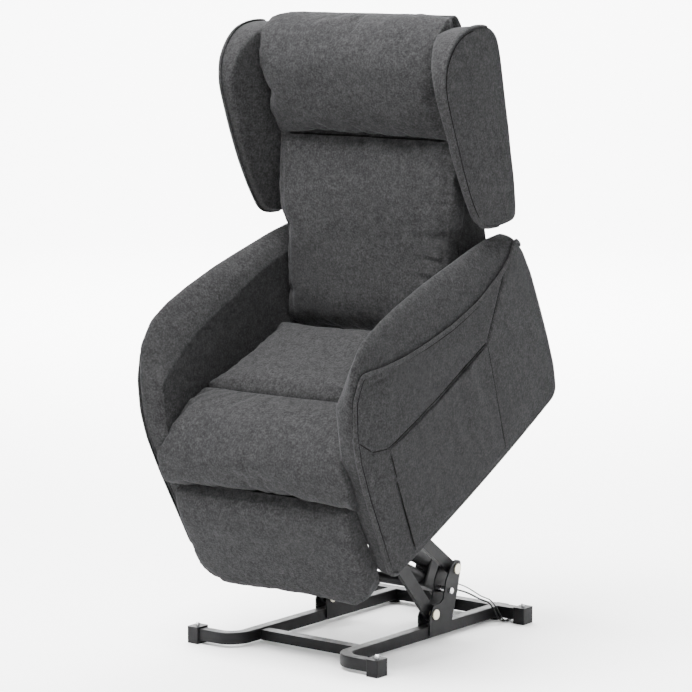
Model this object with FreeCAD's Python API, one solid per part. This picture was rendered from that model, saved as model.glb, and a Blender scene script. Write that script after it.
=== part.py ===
import FreeCAD, Part
import math
import os

# Power lift recliner chair, millimetres and degrees.  +Z is up, the chair faces -Y and +X is its own left.
# The model stands in its raised pose: the lift has tipped the chair forward by LIFT_TILT.
#
# Base parts are given in row coordinates (y, z).  Everything that the lift carries is given in the chair's
# own frame (v rearward, w up, measured along and square to the bottom edge of the arms) and then tipped
# forward about the arm's front bottom tip by chair().

V = FreeCAD.Vector

# ---------------------------------------------------------------- driving dimensions
LIFT_TILT = 30.0
TIP_Y, TIP_Z = -230.0, 213.0

SEAT_HALF = 246.0
ARM_INNER = 252.0
BOARD_T = 15.0
SKIN_T = 3.0

RAIL_X, RAIL_W, RAIL_H, RAIL_LOW = 153.0, 28.0, 28.0, 8.0
TUBE_WALL = 2.0
FRONT_TUBE_Y, REAR_TUBE_Y, CROSS_BAR_Y = -251.0, 375.4, -155.0
FRONT_CAP_X, REAR_CAP_X = 263.0, 230.0
CAP_X, CAP_Y, CAP_Z = 32.0, 40.0, 40.0
BEND_R = 55.0

LOWER_PIVOT, LOWER_LINK, LOWER_RISE = (99.0, 63.0), 340.0, 48.7
UPPER_PIVOT, UPPER_LINK, UPPER_RISE = (185.0, 158.0), 387.0, 36.2
LINK_IN, LINK_OUT = 148.0, 158.0
PLATE_T = 4.0
PIN_R, RUN_FIT = 8.0, 0.06
OPEN_PIVOT_GAP = 7.0

LIFT_X, LIFT_CLEVIS, CRANK_ALONG, CRANK_UP = 25.0, (300.0, 80.0), 120.0, 60.0
ROD_R, DRIVE_TUBE_R, DRIVE_PIN_R, DRIVE_EYE_GAP = 9.0, 15.0, 6.0, 6.5

RECLINE_X, RECLINE_CLEVIS, RECLINE_CRANK = -70.0, (150.0, 140.0), (594.0, 150.7)
BACK_HINGE = (560.0, 250.0)
BACK_TOP = (868.0, 870.0)

FOOT_PIVOT, FOOT_KNEE, FOOT_EYE = (70.0, 110.0), (82.2, -29.5), (25.0, 170.0)
FOOT_PIN_R = 6.0

LEAD_D, BRANCH_D = 4.5, 3.0
COIL_AT, COIL_RADII, COIL_LAYERS = (92.0, 446.0), (19.25, 23.75, 28.25, 32.75), 2


# ---------------------------------------------------------------- helpers
nodes = {}


def chair(shape):
    """Tips a shape from the chair's frame into the row frame."""
    moved = shape.copy()
    moved.rotate(V(0, 0, 0), V(1, 0, 0), LIFT_TILT)
    moved.translate(V(0, TIP_Y, TIP_Z))
    return moved


def in_chair(point):
    """Row point (y, z) given in the chair's frame (v, w)."""
    a = math.radians(LIFT_TILT)
    y, z = point[0] - TIP_Y, point[1] - TIP_Z
    return (y * math.cos(a) + z * math.sin(a), z * math.cos(a) - y * math.sin(a))


def mirrored(shape):
    return shape.mirror(V(0, 0, 0), V(1, 0, 0))


LARGEST_CUT = 0.48


def corner_path(points, radii, closed):
    """Wire of straight runs joined by tangent arcs, one radius for each corner (0 keeps it sharp).

    A radius is cut back where the arc would use more than about half of the shorter run beside it."""
    count = len(points)
    starts, ends, edges = [], [], []
    arcs = []
    for i, corner in enumerate(points):
        if not closed and i in (0, count - 1) or radii[i] == 0:
            starts.append(corner)
            ends.append(corner)
            arcs.append(None)
            continue
        to_last = (points[i - 1] - corner).normalize()
        to_next = (points[(i + 1) % count] - corner).normalize()
        half_turn = (math.pi - to_last.getAngle(to_next)) / 2
        shorter = min((points[i - 1] - corner).Length, (points[(i + 1) % count] - corner).Length)
        radius = min(radii[i], LARGEST_CUT * shorter / math.tan(half_turn))
        cut = radius * math.tan(half_turn)
        middle = (to_last + to_next).normalize()
        starts.append(corner + to_last * cut)
        ends.append(corner + to_next * cut)
        arcs.append(corner + middle * (radius / math.cos(half_turn) - radius))
    for i in range(count):
        if arcs[i]:
            edges.append(Part.Arc(starts[i], arcs[i], ends[i]).toShape())
        if i < count - 1 or closed:
            following = starts[(i + 1) % count]
            if (following - ends[i]).Length > 0.001:
                edges.append(Part.LineSegment(ends[i], following).toShape())
    return Part.Wire(edges)


def prism(outline, x_low, x_high, radius=0.0, holes=()):
    """Plate or block: a (y, z) outline with one corner radius, or one for each corner, drawn out along X."""
    radii = radius if isinstance(radius, (list, tuple)) else [radius] * len(outline)
    wire = corner_path([V(x_low, y, z) for y, z in outline], radii, True)
    solid = Part.Face(wire).extrude(V(x_high - x_low, 0, 0))
    for (y, z), hole_r in holes:
        solid = solid.cut(rod_x(y, z, hole_r, x_low - 1, x_high + 1))
    return solid


def rod_x(y, z, radius, x_low, x_high):
    return Part.makeCylinder(radius, x_high - x_low, V(x_low, y, z), V(1, 0, 0))


def box(x_low, x_high, y_low, y_high, z_low, z_high):
    return Part.makeBox(x_high - x_low, y_high - y_low, z_high - z_low, V(x_low, y_low, z_low))


def square_tube_x(x_low, x_high, y_mid, z_low, width, height):
    """Hollow rectangular tube along X."""
    outer = box(x_low, x_high, y_mid - width / 2, y_mid + width / 2, z_low, z_low + height)
    inner = box(x_low - 1, x_high + 1, y_mid - width / 2 + TUBE_WALL, y_mid + width / 2 - TUBE_WALL,
                z_low + TUBE_WALL, z_low + height - TUBE_WALL)
    return outer.cut(inner)


def polar(origin, length, rise, up=0.0):
    """Point at a length along a line that rises forward from origin, and up square to that line."""
    a = math.radians(rise)
    return (origin[0] - length * math.cos(a) + up * math.sin(a),
            origin[1] + length * math.sin(a) + up * math.cos(a))


def bar(a, b, width, x_low, x_high, holes=()):
    """Flat link with round ends from pivot a to pivot b."""
    dy, dz = b[0] - a[0], b[1] - a[1]
    length = math.hypot(dy, dz)
    ny, nz = -dz / length * width / 2, dy / length * width / 2
    outline = [(a[0] + ny, a[1] + nz), (b[0] + ny, b[1] + nz), (b[0] - ny, b[1] - nz), (a[0] - ny, a[1] - nz)]
    solid = prism(outline, x_low, x_high)
    for y, z in (a, b):
        solid = solid.fuse(rod_x(y, z, width / 2, x_low, x_high))
    solid = solid.removeSplitter()
    for (y, z), hole_r in holes:
        solid = solid.cut(rod_x(y, z, hole_r, x_low - 1, x_high + 1))
    return solid


def headed_pin(at, radius, x_low, x_high, head_r, head_t, both=True):
    """Pivot pin along X with a flat head outboard, and one inboard as well when both."""
    pin = rod_x(at[0], at[1], radius, x_low, x_high)
    pin = pin.fuse(rod_x(at[0], at[1], head_r, x_high, x_high + head_t))
    if both:
        pin = pin.fuse(rod_x(at[0], at[1], head_r, x_low - head_t, x_low))
    return pin.removeSplitter()


def both_sides(shape):
    return [shape, mirrored(shape)]


def pair(name, shape):
    """A left and a right node."""
    nodes[name + "_left"], nodes[name + "_right"] = both_sides(shape)


def group(name, shapes):
    """Repeated pieces in one node, as separate solids."""
    nodes[name] = Part.makeCompound(shapes)


# ---------------------------------------------------------------- base
def base_rail():
    """Side rail of square tube whose front end bends out to the cap."""
    z_mid = RAIL_LOW + RAIL_H / 2
    path = corner_path([V(RAIL_X, REAR_TUBE_Y - RAIL_W / 2, z_mid), V(RAIL_X, FRONT_TUBE_Y, z_mid),
                        V(FRONT_CAP_X - CAP_X / 2, FRONT_TUBE_Y, z_mid)], [0, BEND_R, 0], False)
    shapes = []
    for wall in (0, TUBE_WALL):
        half_w, half_h = RAIL_W / 2 - wall, RAIL_H / 2 - wall
        y = REAR_TUBE_Y - RAIL_W / 2
        corners = [V(RAIL_X - half_w, y, z_mid - half_h), V(RAIL_X + half_w, y, z_mid - half_h),
                   V(RAIL_X + half_w, y, z_mid + half_h), V(RAIL_X - half_w, y, z_mid + half_h)]
        shapes.append(path.makePipeShell([corner_path(corners, [3 - wall] * 4, True)], True, False))
    return shapes[0].cut(shapes[1])


pair("base_rail", base_rail())
nodes["front_crossbar"] = square_tube_x(-RAIL_X + RAIL_W / 2, RAIL_X - RAIL_W / 2, CROSS_BAR_Y, RAIL_LOW,
                                        RAIL_W, RAIL_H - 4)
REAR_END = REAR_CAP_X - CAP_X / 2
nodes["rear_crossbar"] = square_tube_x(-REAR_END, REAR_END, REAR_TUBE_Y, RAIL_LOW, RAIL_W, RAIL_H)


def foot_cap(x, y):
    """Plastic end cap, a block with a foot below the tube's level."""
    cap = box(x - CAP_X / 2, x + CAP_X / 2, y - CAP_Y / 2, y + CAP_Y / 2, 0, CAP_Z)
    return cap.makeFillet(3, [e for e in cap.Edges if abs(e.Vertexes[0].Z - e.Vertexes[1].Z) > CAP_Z / 2])


CAP_PLACES = [(FRONT_CAP_X, FRONT_TUBE_Y), (-FRONT_CAP_X, FRONT_TUBE_Y), (REAR_CAP_X, REAR_TUBE_Y),
              (-REAR_CAP_X, REAR_TUBE_Y)]
group("foot_caps", [foot_cap(x, y) for x, y in CAP_PLACES])
SCREW_R, SCREW_H = 4.5, 8.0
group("cap_screws", [Part.makeCylinder(SCREW_R, SCREW_H, V(x, y, CAP_Z)) for x, y in CAP_PLACES])
GLIDE_R = 14.0
group("rubber_glides", both_sides(Part.makeCylinder(GLIDE_R, RAIL_LOW, V(RAIL_X, REAR_TUBE_Y - 4, 0))))

# lift bracket: an outer and an inner plate on the faces of the rail
BRACKET = [(77, 13), (77, 58), (92, 86), (118, 86), (131, 92), (142, 135), (160, 166), (178, 181), (199, 176),
           (201, 160), (187, 104), (171, 58), (159, 13)]
BRACKET_R = [4, 6, 10, 4, 12, 20, 12, 9, 9, 12, 60, 30, 4]
BRACKET_BOLT, BOLT_R = (159.0, 110.0), 4.0
PLATE_IN = RAIL_X - RAIL_W / 2 - PLATE_T
PLATE_OUT = RAIL_X + RAIL_W / 2
bracket_holes = [(LOWER_PIVOT, PIN_R), (UPPER_PIVOT, PIN_R), (BRACKET_BOLT, BOLT_R)]
bracket_plates = []
for plate_x in (PLATE_OUT, PLATE_IN):
    bracket_plates += both_sides(prism(BRACKET, plate_x, plate_x + PLATE_T, BRACKET_R, bracket_holes))
group("bracket_plates", bracket_plates)

PIN_HEAD_R, PIN_HEAD_T = 12.0, 3.0
base_pins = []
for pivot in (LOWER_PIVOT, UPPER_PIVOT):
    base_pins += both_sides(headed_pin(pivot, PIN_R, PLATE_IN, PLATE_OUT + PLATE_T, PIN_HEAD_R, PIN_HEAD_T))
BOLT_HEAD_R, BOLT_HEAD_T, SPACER_R = 7.0, 4.0, 8.0
spacer_bolt = headed_pin(BRACKET_BOLT, BOLT_R, PLATE_IN, PLATE_OUT + PLATE_T, BOLT_HEAD_R, BOLT_HEAD_T)
spacer_tube = rod_x(*BRACKET_BOLT, SPACER_R, PLATE_IN + PLATE_T, PLATE_OUT)
group("bracket_bolts", both_sides(spacer_bolt.fuse(spacer_tube).removeSplitter()))

# ---------------------------------------------------------------- lift arms
lower_front = polar(LOWER_PIVOT, LOWER_LINK, LOWER_RISE)
upper_front = polar(UPPER_PIVOT, UPPER_LINK, UPPER_RISE)
LOWER_W, UPPER_W = 34.0, 30.0
pair("lower_lift_arm", bar(LOWER_PIVOT, lower_front, LOWER_W, LINK_IN, LINK_OUT,
                           [(LOWER_PIVOT, PIN_R + RUN_FIT), (lower_front, PIN_R + RUN_FIT)]))
upper_arm = bar(UPPER_PIVOT, upper_front, UPPER_W, LINK_IN, LINK_OUT,
                [(UPPER_PIVOT, PIN_R + RUN_FIT), (upper_front, PIN_R)])
group("upper_lift_arms", both_sides(upper_arm))
LOWER_EYE, UPPER_EYE = in_chair(lower_front), in_chair(upper_front)
TORQUE_R, UPPER_TUBE_R, UPPER_TUBE_ALONG = 13.0, 11.0, 250.0
torque_at = polar(LOWER_PIVOT, CRANK_ALONG, LOWER_RISE)
torque_tube = rod_x(torque_at[0], torque_at[1], TORQUE_R, -LINK_IN, LINK_IN)
tube_at = polar(UPPER_PIVOT, UPPER_TUBE_ALONG, UPPER_RISE)
nodes["upper_arm_cross_tube"] = rod_x(tube_at[0], tube_at[1], UPPER_TUBE_R, -LINK_IN, LINK_IN)

crank_pin_at = polar(LOWER_PIVOT, CRANK_ALONG, LOWER_RISE, CRANK_UP)
EYE_T, CRANK_T = 8.0, 4.0
DRIVE_HEAD_R, DRIVE_HEAD_T = 9.0, 3.0


def crank(hub, pin_at, middle_x, width):
    """Two crank ears from a hub to their pin, welded to what turns at the hub."""
    low, high = middle_x - EYE_T - 1 - CRANK_T, middle_x + EYE_T + 1 + CRANK_T
    solid = headed_pin(pin_at, DRIVE_PIN_R, low, high, DRIVE_HEAD_R, DRIVE_HEAD_T)
    for ear_low in (low, high - CRANK_T):
        solid = solid.fuse(bar(hub, pin_at, width, ear_low, ear_low + CRANK_T))
    return solid


LIFT_CRANK_W, BACK_CRANK_W = 26.0, 24.0
lift_crank = crank(torque_at, crank_pin_at, LIFT_X, LIFT_CRANK_W)
nodes["lift_torque_tube"] = torque_tube.fuse(lift_crank).removeSplitter()

# upper front pins ride on the arm and pass the pivot plate through a wide hole: this is the opened pivot
PIVOT_PLATE_IN, PIVOT_PLATE_T, WASHER_R, WASHER_GAP = 164.0, 6.0, 19.0, 0.6
washer_low = PIVOT_PLATE_IN + PIVOT_PLATE_T + WASHER_GAP
open_pin = rod_x(*upper_front, PIN_R, LINK_IN, washer_low)
open_pin = open_pin.fuse(rod_x(*upper_front, WASHER_R, washer_low, washer_low + PIN_HEAD_T))
open_pin = open_pin.fuse(rod_x(*upper_front, PIN_HEAD_R, LINK_IN - PIN_HEAD_T, LINK_IN))
open_pin = open_pin.fuse(rod_x(*upper_front, WASHER_R, LINK_OUT, PIVOT_PLATE_IN - WASHER_GAP))
group("upper_front_pins", both_sides(open_pin.removeSplitter()))


# ---------------------------------------------------------------- linear drives
def drive(start, rise, reach, middle_x, tube_end, rod_start, motor_up, motor_side):
    """Housing and rod of a linear drive from its clevis to its crank.

    The drive is built along +Y from the origin, then turned to its rise and moved to its clevis.
    motor_up and motor_side place the motor beside the tube."""
    gear_start, gear_end, half_gear = 15.0, 74.0, 22.0
    motor_r, motor_end, lug_r, eye_wall = 20.0, 165.0, 12.0, 4.0
    lug = rod_x(0, 0, lug_r, -EYE_T, EYE_T).fuse(box(-EYE_T, EYE_T, 0, gear_start, 2 - lug_r, lug_r - 2))
    lug = lug.cut(rod_x(0, 0, DRIVE_PIN_R + RUN_FIT, -EYE_T, EYE_T))
    gear = box(min(0, motor_side) - half_gear, max(0, motor_side) + half_gear, gear_start, gear_end,
               min(0, motor_up) - half_gear, max(0, motor_up) + half_gear)
    gear = gear.makeFillet(5, gear.Edges)
    tube = Part.makeCylinder(DRIVE_TUBE_R, tube_end - gear_end, V(0, gear_end, 0), V(0, 1, 0))
    tube = tube.cut(Part.makeCylinder(ROD_R + 1, tube_end - gear_end - 4, V(0, gear_end + 4, 0), V(0, 1, 0)))
    seal = Part.makeCylinder(DRIVE_TUBE_R - 1, 10, V(0, tube_end - 12, 0), V(0, 1, 0))
    seal = seal.cut(Part.makeCylinder(ROD_R + RUN_FIT, 12, V(0, tube_end - 13, 0), V(0, 1, 0)))
    motor = Part.makeCylinder(motor_r, motor_end - gear_end, V(motor_side, gear_end, motor_up), V(0, 1, 0))
    motor = motor.makeFillet(4, [e for e in motor.Edges if e.CenterOfMass.y > motor_end - 1])
    eye_r = DRIVE_PIN_R + DRIVE_EYE_GAP
    rod = Part.makeCylinder(ROD_R, reach - eye_r - rod_start, V(0, rod_start, 0), V(0, 1, 0))
    eye = rod_x(reach, 0, eye_r + eye_wall, -EYE_T, EYE_T).fuse(rod)
    eye = eye.cut(rod_x(reach, 0, eye_r, -ROD_R - 1, ROD_R + 1))
    placed = []
    for shape in (lug.fuse(gear), tube.fuse(seal), motor, eye):
        moved = shape.removeSplitter()
        moved.rotate(V(0, 0, 0), V(1, 0, 0), rise)
        moved.translate(V(middle_x, start[0], start[1]))
        placed.append(moved)
    return placed


lift_reach = math.hypot(crank_pin_at[0] - LIFT_CLEVIS[0], crank_pin_at[1] - LIFT_CLEVIS[1])
lift_rise = 180 - math.degrees(math.atan2(crank_pin_at[1] - LIFT_CLEVIS[1], LIFT_CLEVIS[0] - crank_pin_at[0]))
MOTOR_OFFSET = 44.0
LIFT_TUBE_END, LIFT_ROD_START = 196.0, 118.0
gearbox, tube, motor, rod = drive(LIFT_CLEVIS, lift_rise, lift_reach, LIFT_X, LIFT_TUBE_END, LIFT_ROD_START,
                                  -MOTOR_OFFSET, 0)
nodes["lift_drive_housing"] = gearbox.fuse(tube).removeSplitter()
nodes["lift_drive_motor"] = motor
nodes["lift_drive_rod"] = rod

CLEVIS_GAP, CLEVIS_T = EYE_T + 1, 5.0
bar_front = REAR_TUBE_Y - RAIL_W / 2
CLEVIS = [(bar_front, RAIL_LOW + 4), (bar_front, 62), (LIFT_CLEVIS[0] + 10, LIFT_CLEVIS[1] + 15),
          (LIFT_CLEVIS[0] - 14, LIFT_CLEVIS[1] + 12), (LIFT_CLEVIS[0] - 12, LIFT_CLEVIS[1] - 14),
          (bar_front - 22, RAIL_LOW + 4)]
for ear_x in (LIFT_X - CLEVIS_GAP - CLEVIS_T, LIFT_X + CLEVIS_GAP):
    ear = prism(CLEVIS, ear_x, ear_x + CLEVIS_T, [0, 6, 12, 12, 12, 4], [(LIFT_CLEVIS, DRIVE_PIN_R)])
    nodes["rear_crossbar"] = nodes["rear_crossbar"].fuse(ear)
base_pins.append(headed_pin(LIFT_CLEVIS, DRIVE_PIN_R, LIFT_X - CLEVIS_GAP - CLEVIS_T,
                            LIFT_X + CLEVIS_GAP + CLEVIS_T, DRIVE_HEAD_R, DRIVE_HEAD_T))
group("base_pivot_pins", base_pins)

# ---------------------------------------------------------------- chair frame, in the chair's own frame
CHAIR_RAIL_IN, CHAIR_RAIL_OUT, CHAIR_RAIL_LOW, CHAIR_RAIL_TOP = 170.0, 195.0, 128.0, 163.0
SIDE_PLATE_IN, SIDE_PLATE_OUT = 236.0, 240.0
CHAIR_RAIL_V = (60.0, 656.0)
rail = box(CHAIR_RAIL_IN, CHAIR_RAIL_OUT, *CHAIR_RAIL_V, CHAIR_RAIL_LOW, CHAIR_RAIL_TOP)
rail = rail.cut(box(CHAIR_RAIL_IN + TUBE_WALL, CHAIR_RAIL_OUT - TUBE_WALL, CHAIR_RAIL_V[0] - 1,
                    CHAIR_RAIL_V[1] + 1, CHAIR_RAIL_LOW + TUBE_WALL, CHAIR_RAIL_TOP - TUBE_WALL))
seat_rails = both_sides(rail)
PIVOT_PLATE = [(112, 162), (112, 60), (122, 18), (160, 14), (205, 70), (215, 162)]
pivot_plate = prism(PIVOT_PLATE, PIVOT_PLATE_IN, PIVOT_PLATE_IN + PIVOT_PLATE_T, [4, 30, 16, 20, 30, 4],
                    [(LOWER_EYE, PIN_R), (UPPER_EYE, PIN_R + OPEN_PIVOT_GAP)])
group("seat_rails", [chair(s) for s in seat_rails + both_sides(pivot_plate)])
chair_pins = both_sides(headed_pin(LOWER_EYE, PIN_R, LINK_IN - 1, PIVOT_PLATE_IN + PIVOT_PLATE_T,
                                   PIN_HEAD_R, PIN_HEAD_T))
CROSS_W, CROSS_LOW = 26.0, 132.0
FRONT_CROSS_V, REAR_CROSS_V = 119.0, 641.0
cross_tubes = []
for v_mid, half in ((FRONT_CROSS_V, PIVOT_PLATE_IN), (REAR_CROSS_V, CHAIR_RAIL_IN)):
    cross_tubes.append(square_tube_x(-half, half, v_mid, CROSS_LOW, CROSS_W, CROSS_W))
    outer_tube = square_tube_x(CHAIR_RAIL_OUT, SIDE_PLATE_IN, v_mid, CROSS_LOW, CROSS_W, CROSS_W)
    cross_tubes += both_sides(outer_tube)
ears = [(FRONT_CROSS_V + CROSS_W / 2, CROSS_LOW), (FRONT_CROSS_V + CROSS_W / 2, CROSS_LOW + CROSS_W),
        (RECLINE_CLEVIS[0] + 11, RECLINE_CLEVIS[1] + 12), (RECLINE_CLEVIS[0] + 11, RECLINE_CLEVIS[1] - 12)]
for ear_x in (RECLINE_X - CLEVIS_GAP - CLEVIS_T, RECLINE_X + CLEVIS_GAP):
    ear = prism(ears, ear_x, ear_x + CLEVIS_T, [0, 2, 9, 9], [(RECLINE_CLEVIS, DRIVE_PIN_R)])
    cross_tubes[0] = cross_tubes[0].fuse(ear)
group("seat_cross_tubes", [chair(s) for s in cross_tubes])

SIDE_PLATE = [(48, 96), (48, 130), (88, 164.5), (508, 164.5), (536, 262), (560, 267), (584, 258), (600, 200),
              (658, 164), (658, 128), (580, 84), (120, 84)]
SIDE_PLATE_R = [12, 12, 20, 30, 14, 16, 16, 30, 8, 8, 30, 20]
mechanism_plate = prism(SIDE_PLATE, SIDE_PLATE_IN, SIDE_PLATE_OUT, SIDE_PLATE_R,
                        [(BACK_HINGE, PIN_R), (FOOT_PIVOT, PIN_R + RUN_FIT)])
BUSH_R, BUSH_W, BUSH_PLACES = 12.0, 125.0, (160, 480)
for bush_v in BUSH_PLACES:
    mechanism_plate = mechanism_plate.fuse(rod_x(bush_v, BUSH_W, BUSH_R, SIDE_PLATE_OUT, ARM_INNER))
group("mechanism_plates", [chair(s) for s in both_sides(mechanism_plate.removeSplitter())])

SEAT_BOX_LOW, SEAT_BOX_TOP, SEAT_BOX_V, SEAT_BOX_T = 165.0, 200.0, (50.0, 488.0), 22.0
seat_front, seat_rear = SEAT_BOX_V
inner_half = SEAT_HALF - SEAT_BOX_T
seat_box = both_sides(box(inner_half, SEAT_HALF, seat_front, seat_rear, SEAT_BOX_LOW, SEAT_BOX_TOP))
for v_low in (seat_front, seat_rear - SEAT_BOX_T):
    seat_box.append(box(-inner_half, inner_half, v_low, v_low + SEAT_BOX_T, SEAT_BOX_LOW, SEAT_BOX_TOP))
group("seat_box_rails", [chair(s) for s in seat_box])

SPRING_R, SPRING_REACH, SPRING_PITCH, SPRING_W = 1.8, 24.0, 24.0, 192.0


def sinuous_spring(x_mid):
    """Flat zigzag of spring wire from the front to the rear of the seat box."""
    v = seat_front + SEAT_BOX_T + SPRING_R
    points, side = [V(x_mid, v, SPRING_W)], 1
    while v + SPRING_PITCH < seat_rear - SEAT_BOX_T - SPRING_PITCH / 2:
        v += SPRING_PITCH / 2 if len(points) == 1 else 0
        points.append(V(x_mid + side * SPRING_REACH, v, SPRING_W))
        v += SPRING_PITCH
        points.append(V(x_mid + side * SPRING_REACH, v, SPRING_W))
        side = -side
    points.append(V(x_mid, v, SPRING_W))
    points.append(V(x_mid, seat_rear - SEAT_BOX_T, SPRING_W))
    path = corner_path(points, [9.0] * len(points), False)
    start, ahead = path.Edges[0].Vertexes[0].Point, path.Edges[0].tangentAt(path.Edges[0].FirstParameter)
    section = Part.Wire([Part.makeCircle(SPRING_R, start, ahead)])
    return path.makePipeShell([section], True, False)


SPRING_PLACES = (-165, -55, 55, 165)
group("seat_springs", [chair(sinuous_spring(x)) for x in SPRING_PLACES])

# ---------------------------------------------------------------- seat upholstery
SEAT_CUSHION = [(193, 201), (193, 354), (497, 315), (508, 300), (508, 201)]
nodes["seat_cushion"] = chair(prism(SEAT_CUSHION, -SEAT_HALF, SEAT_HALF, [2, 18, 10, 10, 2]))
FRONT_ROLL = [(22, 201), (-3, 240), (-4, 300), (50, 348), (120, 362), (192, 354), (192, 201)]
nodes["seat_front_roll"] = chair(prism(FRONT_ROLL, -SEAT_HALF, SEAT_HALF, [14, 40, 50, 60, 80, 16, 2]))

# ---------------------------------------------------------------- arms
ARM_OUTLINE = [(0, 0), (7, 116), (20, 323), (37, 385), (72, 457), (114, 494), (200, 466), (317, 431),
               (420, 410), (526, 397), (634, 399), (686, 408), (732, 430), (749, 378), (753, 318), (740, 149),
               (708, 5)]
ARM_OUTLINE_R = [6, 100, 100, 80, 60, 25, 100, 200, 200, 200, 100, 60, 12, 60, 60, 80, 10]
BULGE_LOW, BULGE_HIGH = -60.0, 600.0


def bulge(extra):
    """Solid out to the arm's swelling outer face, drawn between a lower and an upper plan curve."""
    sections = []
    for level, front_x, mid_x, rear_x in ((BULGE_LOW, 283, 312, 318), (BULGE_HIGH, 303, 353, 322)):
        front = V(front_x + extra, -60, level)
        middle = V(mid_x + extra, 350, level)
        rear = V(rear_x + extra, 800, level)
        inner_rear, inner_front = V(200, 800, level), V(200, -60, level)
        sections.append(Part.Wire([Part.Arc(front, middle, rear).toShape(),
                                   Part.makePolygon([rear, inner_rear, inner_front, front])]))
    return Part.makeLoft(sections, True, True)


ARM_FAR = 380.0
outer_x = bulge(0)
# stations along the arm: v, then w at the outer piping, the crown and the inner edge, then x at the piping
PAD_STATIONS = [(104, 480, 486, 470, 316), (131, 487, 528, 462, 320), (196, 463, 542, 466, 332),
                (300, 436, 537, 472, 343), (430, 409, 514, 467, 346), (560, 397, 489, 455, 341),
                (683, 408, 461, 428, 331), (748, 424, 436, 410, 323)]
PAD_UNDER, ABOVE_PAD = 30.0, 700.0


def pad_section(v, piping_w, crown_w, inner_w, piping_x):
    """Closed section of the arm pad at one station."""
    corners = [(ARM_INNER, inner_w - PAD_UNDER), (ARM_INNER, inner_w),
               (ARM_INNER + 14, (inner_w + 2 * crown_w) / 3), (ARM_INNER + 42, crown_w),
               (piping_x - 18, (piping_w + crown_w) / 2 + 4), (piping_x, piping_w)]
    return Part.makePolygon([V(x, v, w) for x, w in corners + corners[:1]])


def above_section(v, piping_w, inner_w, piping_x):
    """Section of the space above the line from the pad's inner lower edge to the piping."""
    corners = [(ARM_INNER - 5, inner_w - PAD_UNDER), (ARM_INNER, inner_w - PAD_UNDER), (piping_x, piping_w),
               (ARM_FAR, piping_w), (ARM_FAR, ABOVE_PAD), (ARM_INNER - 5, ABOVE_PAD)]
    return Part.makePolygon([V(x, v, w) for x, w in corners + corners[:1]])


arm_pad = Part.makeLoft([pad_section(*s) for s in PAD_STATIONS], True, True)
panel = prism(ARM_OUTLINE, ARM_INNER, ARM_FAR, ARM_OUTLINE_R).common(outer_x)
BOARD = [(14, 12), (30, 320), (84, 440), (130, 428), (300, 420), (560, 385), (700, 385), (738, 318),
         (724, 149), (694, 14)]
board = prism(BOARD, ARM_INNER, ARM_INNER + BOARD_T, 10)
above = [above_section(90, 483, 480, 312)]
above += [above_section(v, piping_w, inner_w, piping_x) for v, piping_w, _, inner_w, piping_x in PAD_STATIONS]
above.append(above_section(790, 440, 425, 320))
side_panel = panel.cut(board).cut(Part.makeLoft(above, True, True))
group("arm_boards", [chair(s) for s in both_sides(board)])
pair("arm_side_panel", chair(side_panel))
pair("arm_pad", chair(arm_pad))
POCKET = [(103, 217), (113, 295), (510, 295), (466, 20), (90, 20)]
pocket = prism(POCKET, ARM_INNER + BOARD_T, ARM_FAR, 6).common(bulge(SKIN_T)).cut(outer_x)
nodes["side_pocket"] = chair(pocket)

APRON = [(707, 42), (719, 72), (729, 149), (736, 222), (727, 222), (720, 150), (710, 74), (698, 44)]
nodes["rear_apron"] = chair(prism(APRON, -SEAT_HALF, SEAT_HALF, 1))

# ---------------------------------------------------------------- backrest
lean = math.hypot(BACK_TOP[0] - BACK_HINGE[0], BACK_TOP[1] - BACK_HINGE[1])
up_v, up_w = (BACK_TOP[0] - BACK_HINGE[0]) / lean, (BACK_TOP[1] - BACK_HINGE[1]) / lean


def on_back(along, forward):
    """Point a distance up the back frame from its hinge and forward of the frame's middle plane."""
    return (BACK_HINGE[0] + along * up_v - forward * up_w, BACK_HINGE[1] + along * up_w + forward * up_v)


STILE_X, STILE_T, STILE_HALF = 212.0, 20.0, 16.0
stile = bar(BACK_HINGE, on_back(lean - 30, 0), 2 * STILE_HALF, STILE_X, STILE_X + STILE_T,
            [(BACK_HINGE, PIN_R + RUN_FIT)])
group("back_stiles", [chair(s) for s in both_sides(stile)])
BACK_RAIL_W, BACK_RAIL_HALF, BACK_RAIL_PLACES = 34.0, STILE_HALF - 2, (60, 330, 640)
back_rails = []
for along in BACK_RAIL_PLACES:
    outline = [on_back(along, -BACK_RAIL_HALF), on_back(along + BACK_RAIL_W, -BACK_RAIL_HALF),
               on_back(along + BACK_RAIL_W, BACK_RAIL_HALF), on_back(along, BACK_RAIL_HALF)]
    back_rails.append(chair(prism(outline, -STILE_X, STILE_X)))
group("back_cross_rails", back_rails)
BACK_TUBE_R = 11.0
back_tube = rod_x(*BACK_HINGE, BACK_TUBE_R, -STILE_X, STILE_X)
back_crank = crank(BACK_HINGE, RECLINE_CRANK, RECLINE_X, BACK_CRANK_W)
nodes["back_torque_tube"] = chair(back_tube.fuse(back_crank).removeSplitter())
back_pin = headed_pin(BACK_HINGE, PIN_R, STILE_X + 1, SIDE_PLATE_OUT, PIN_HEAD_R, PIN_HEAD_T, False)
chair_pins += both_sides(back_pin)

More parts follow.
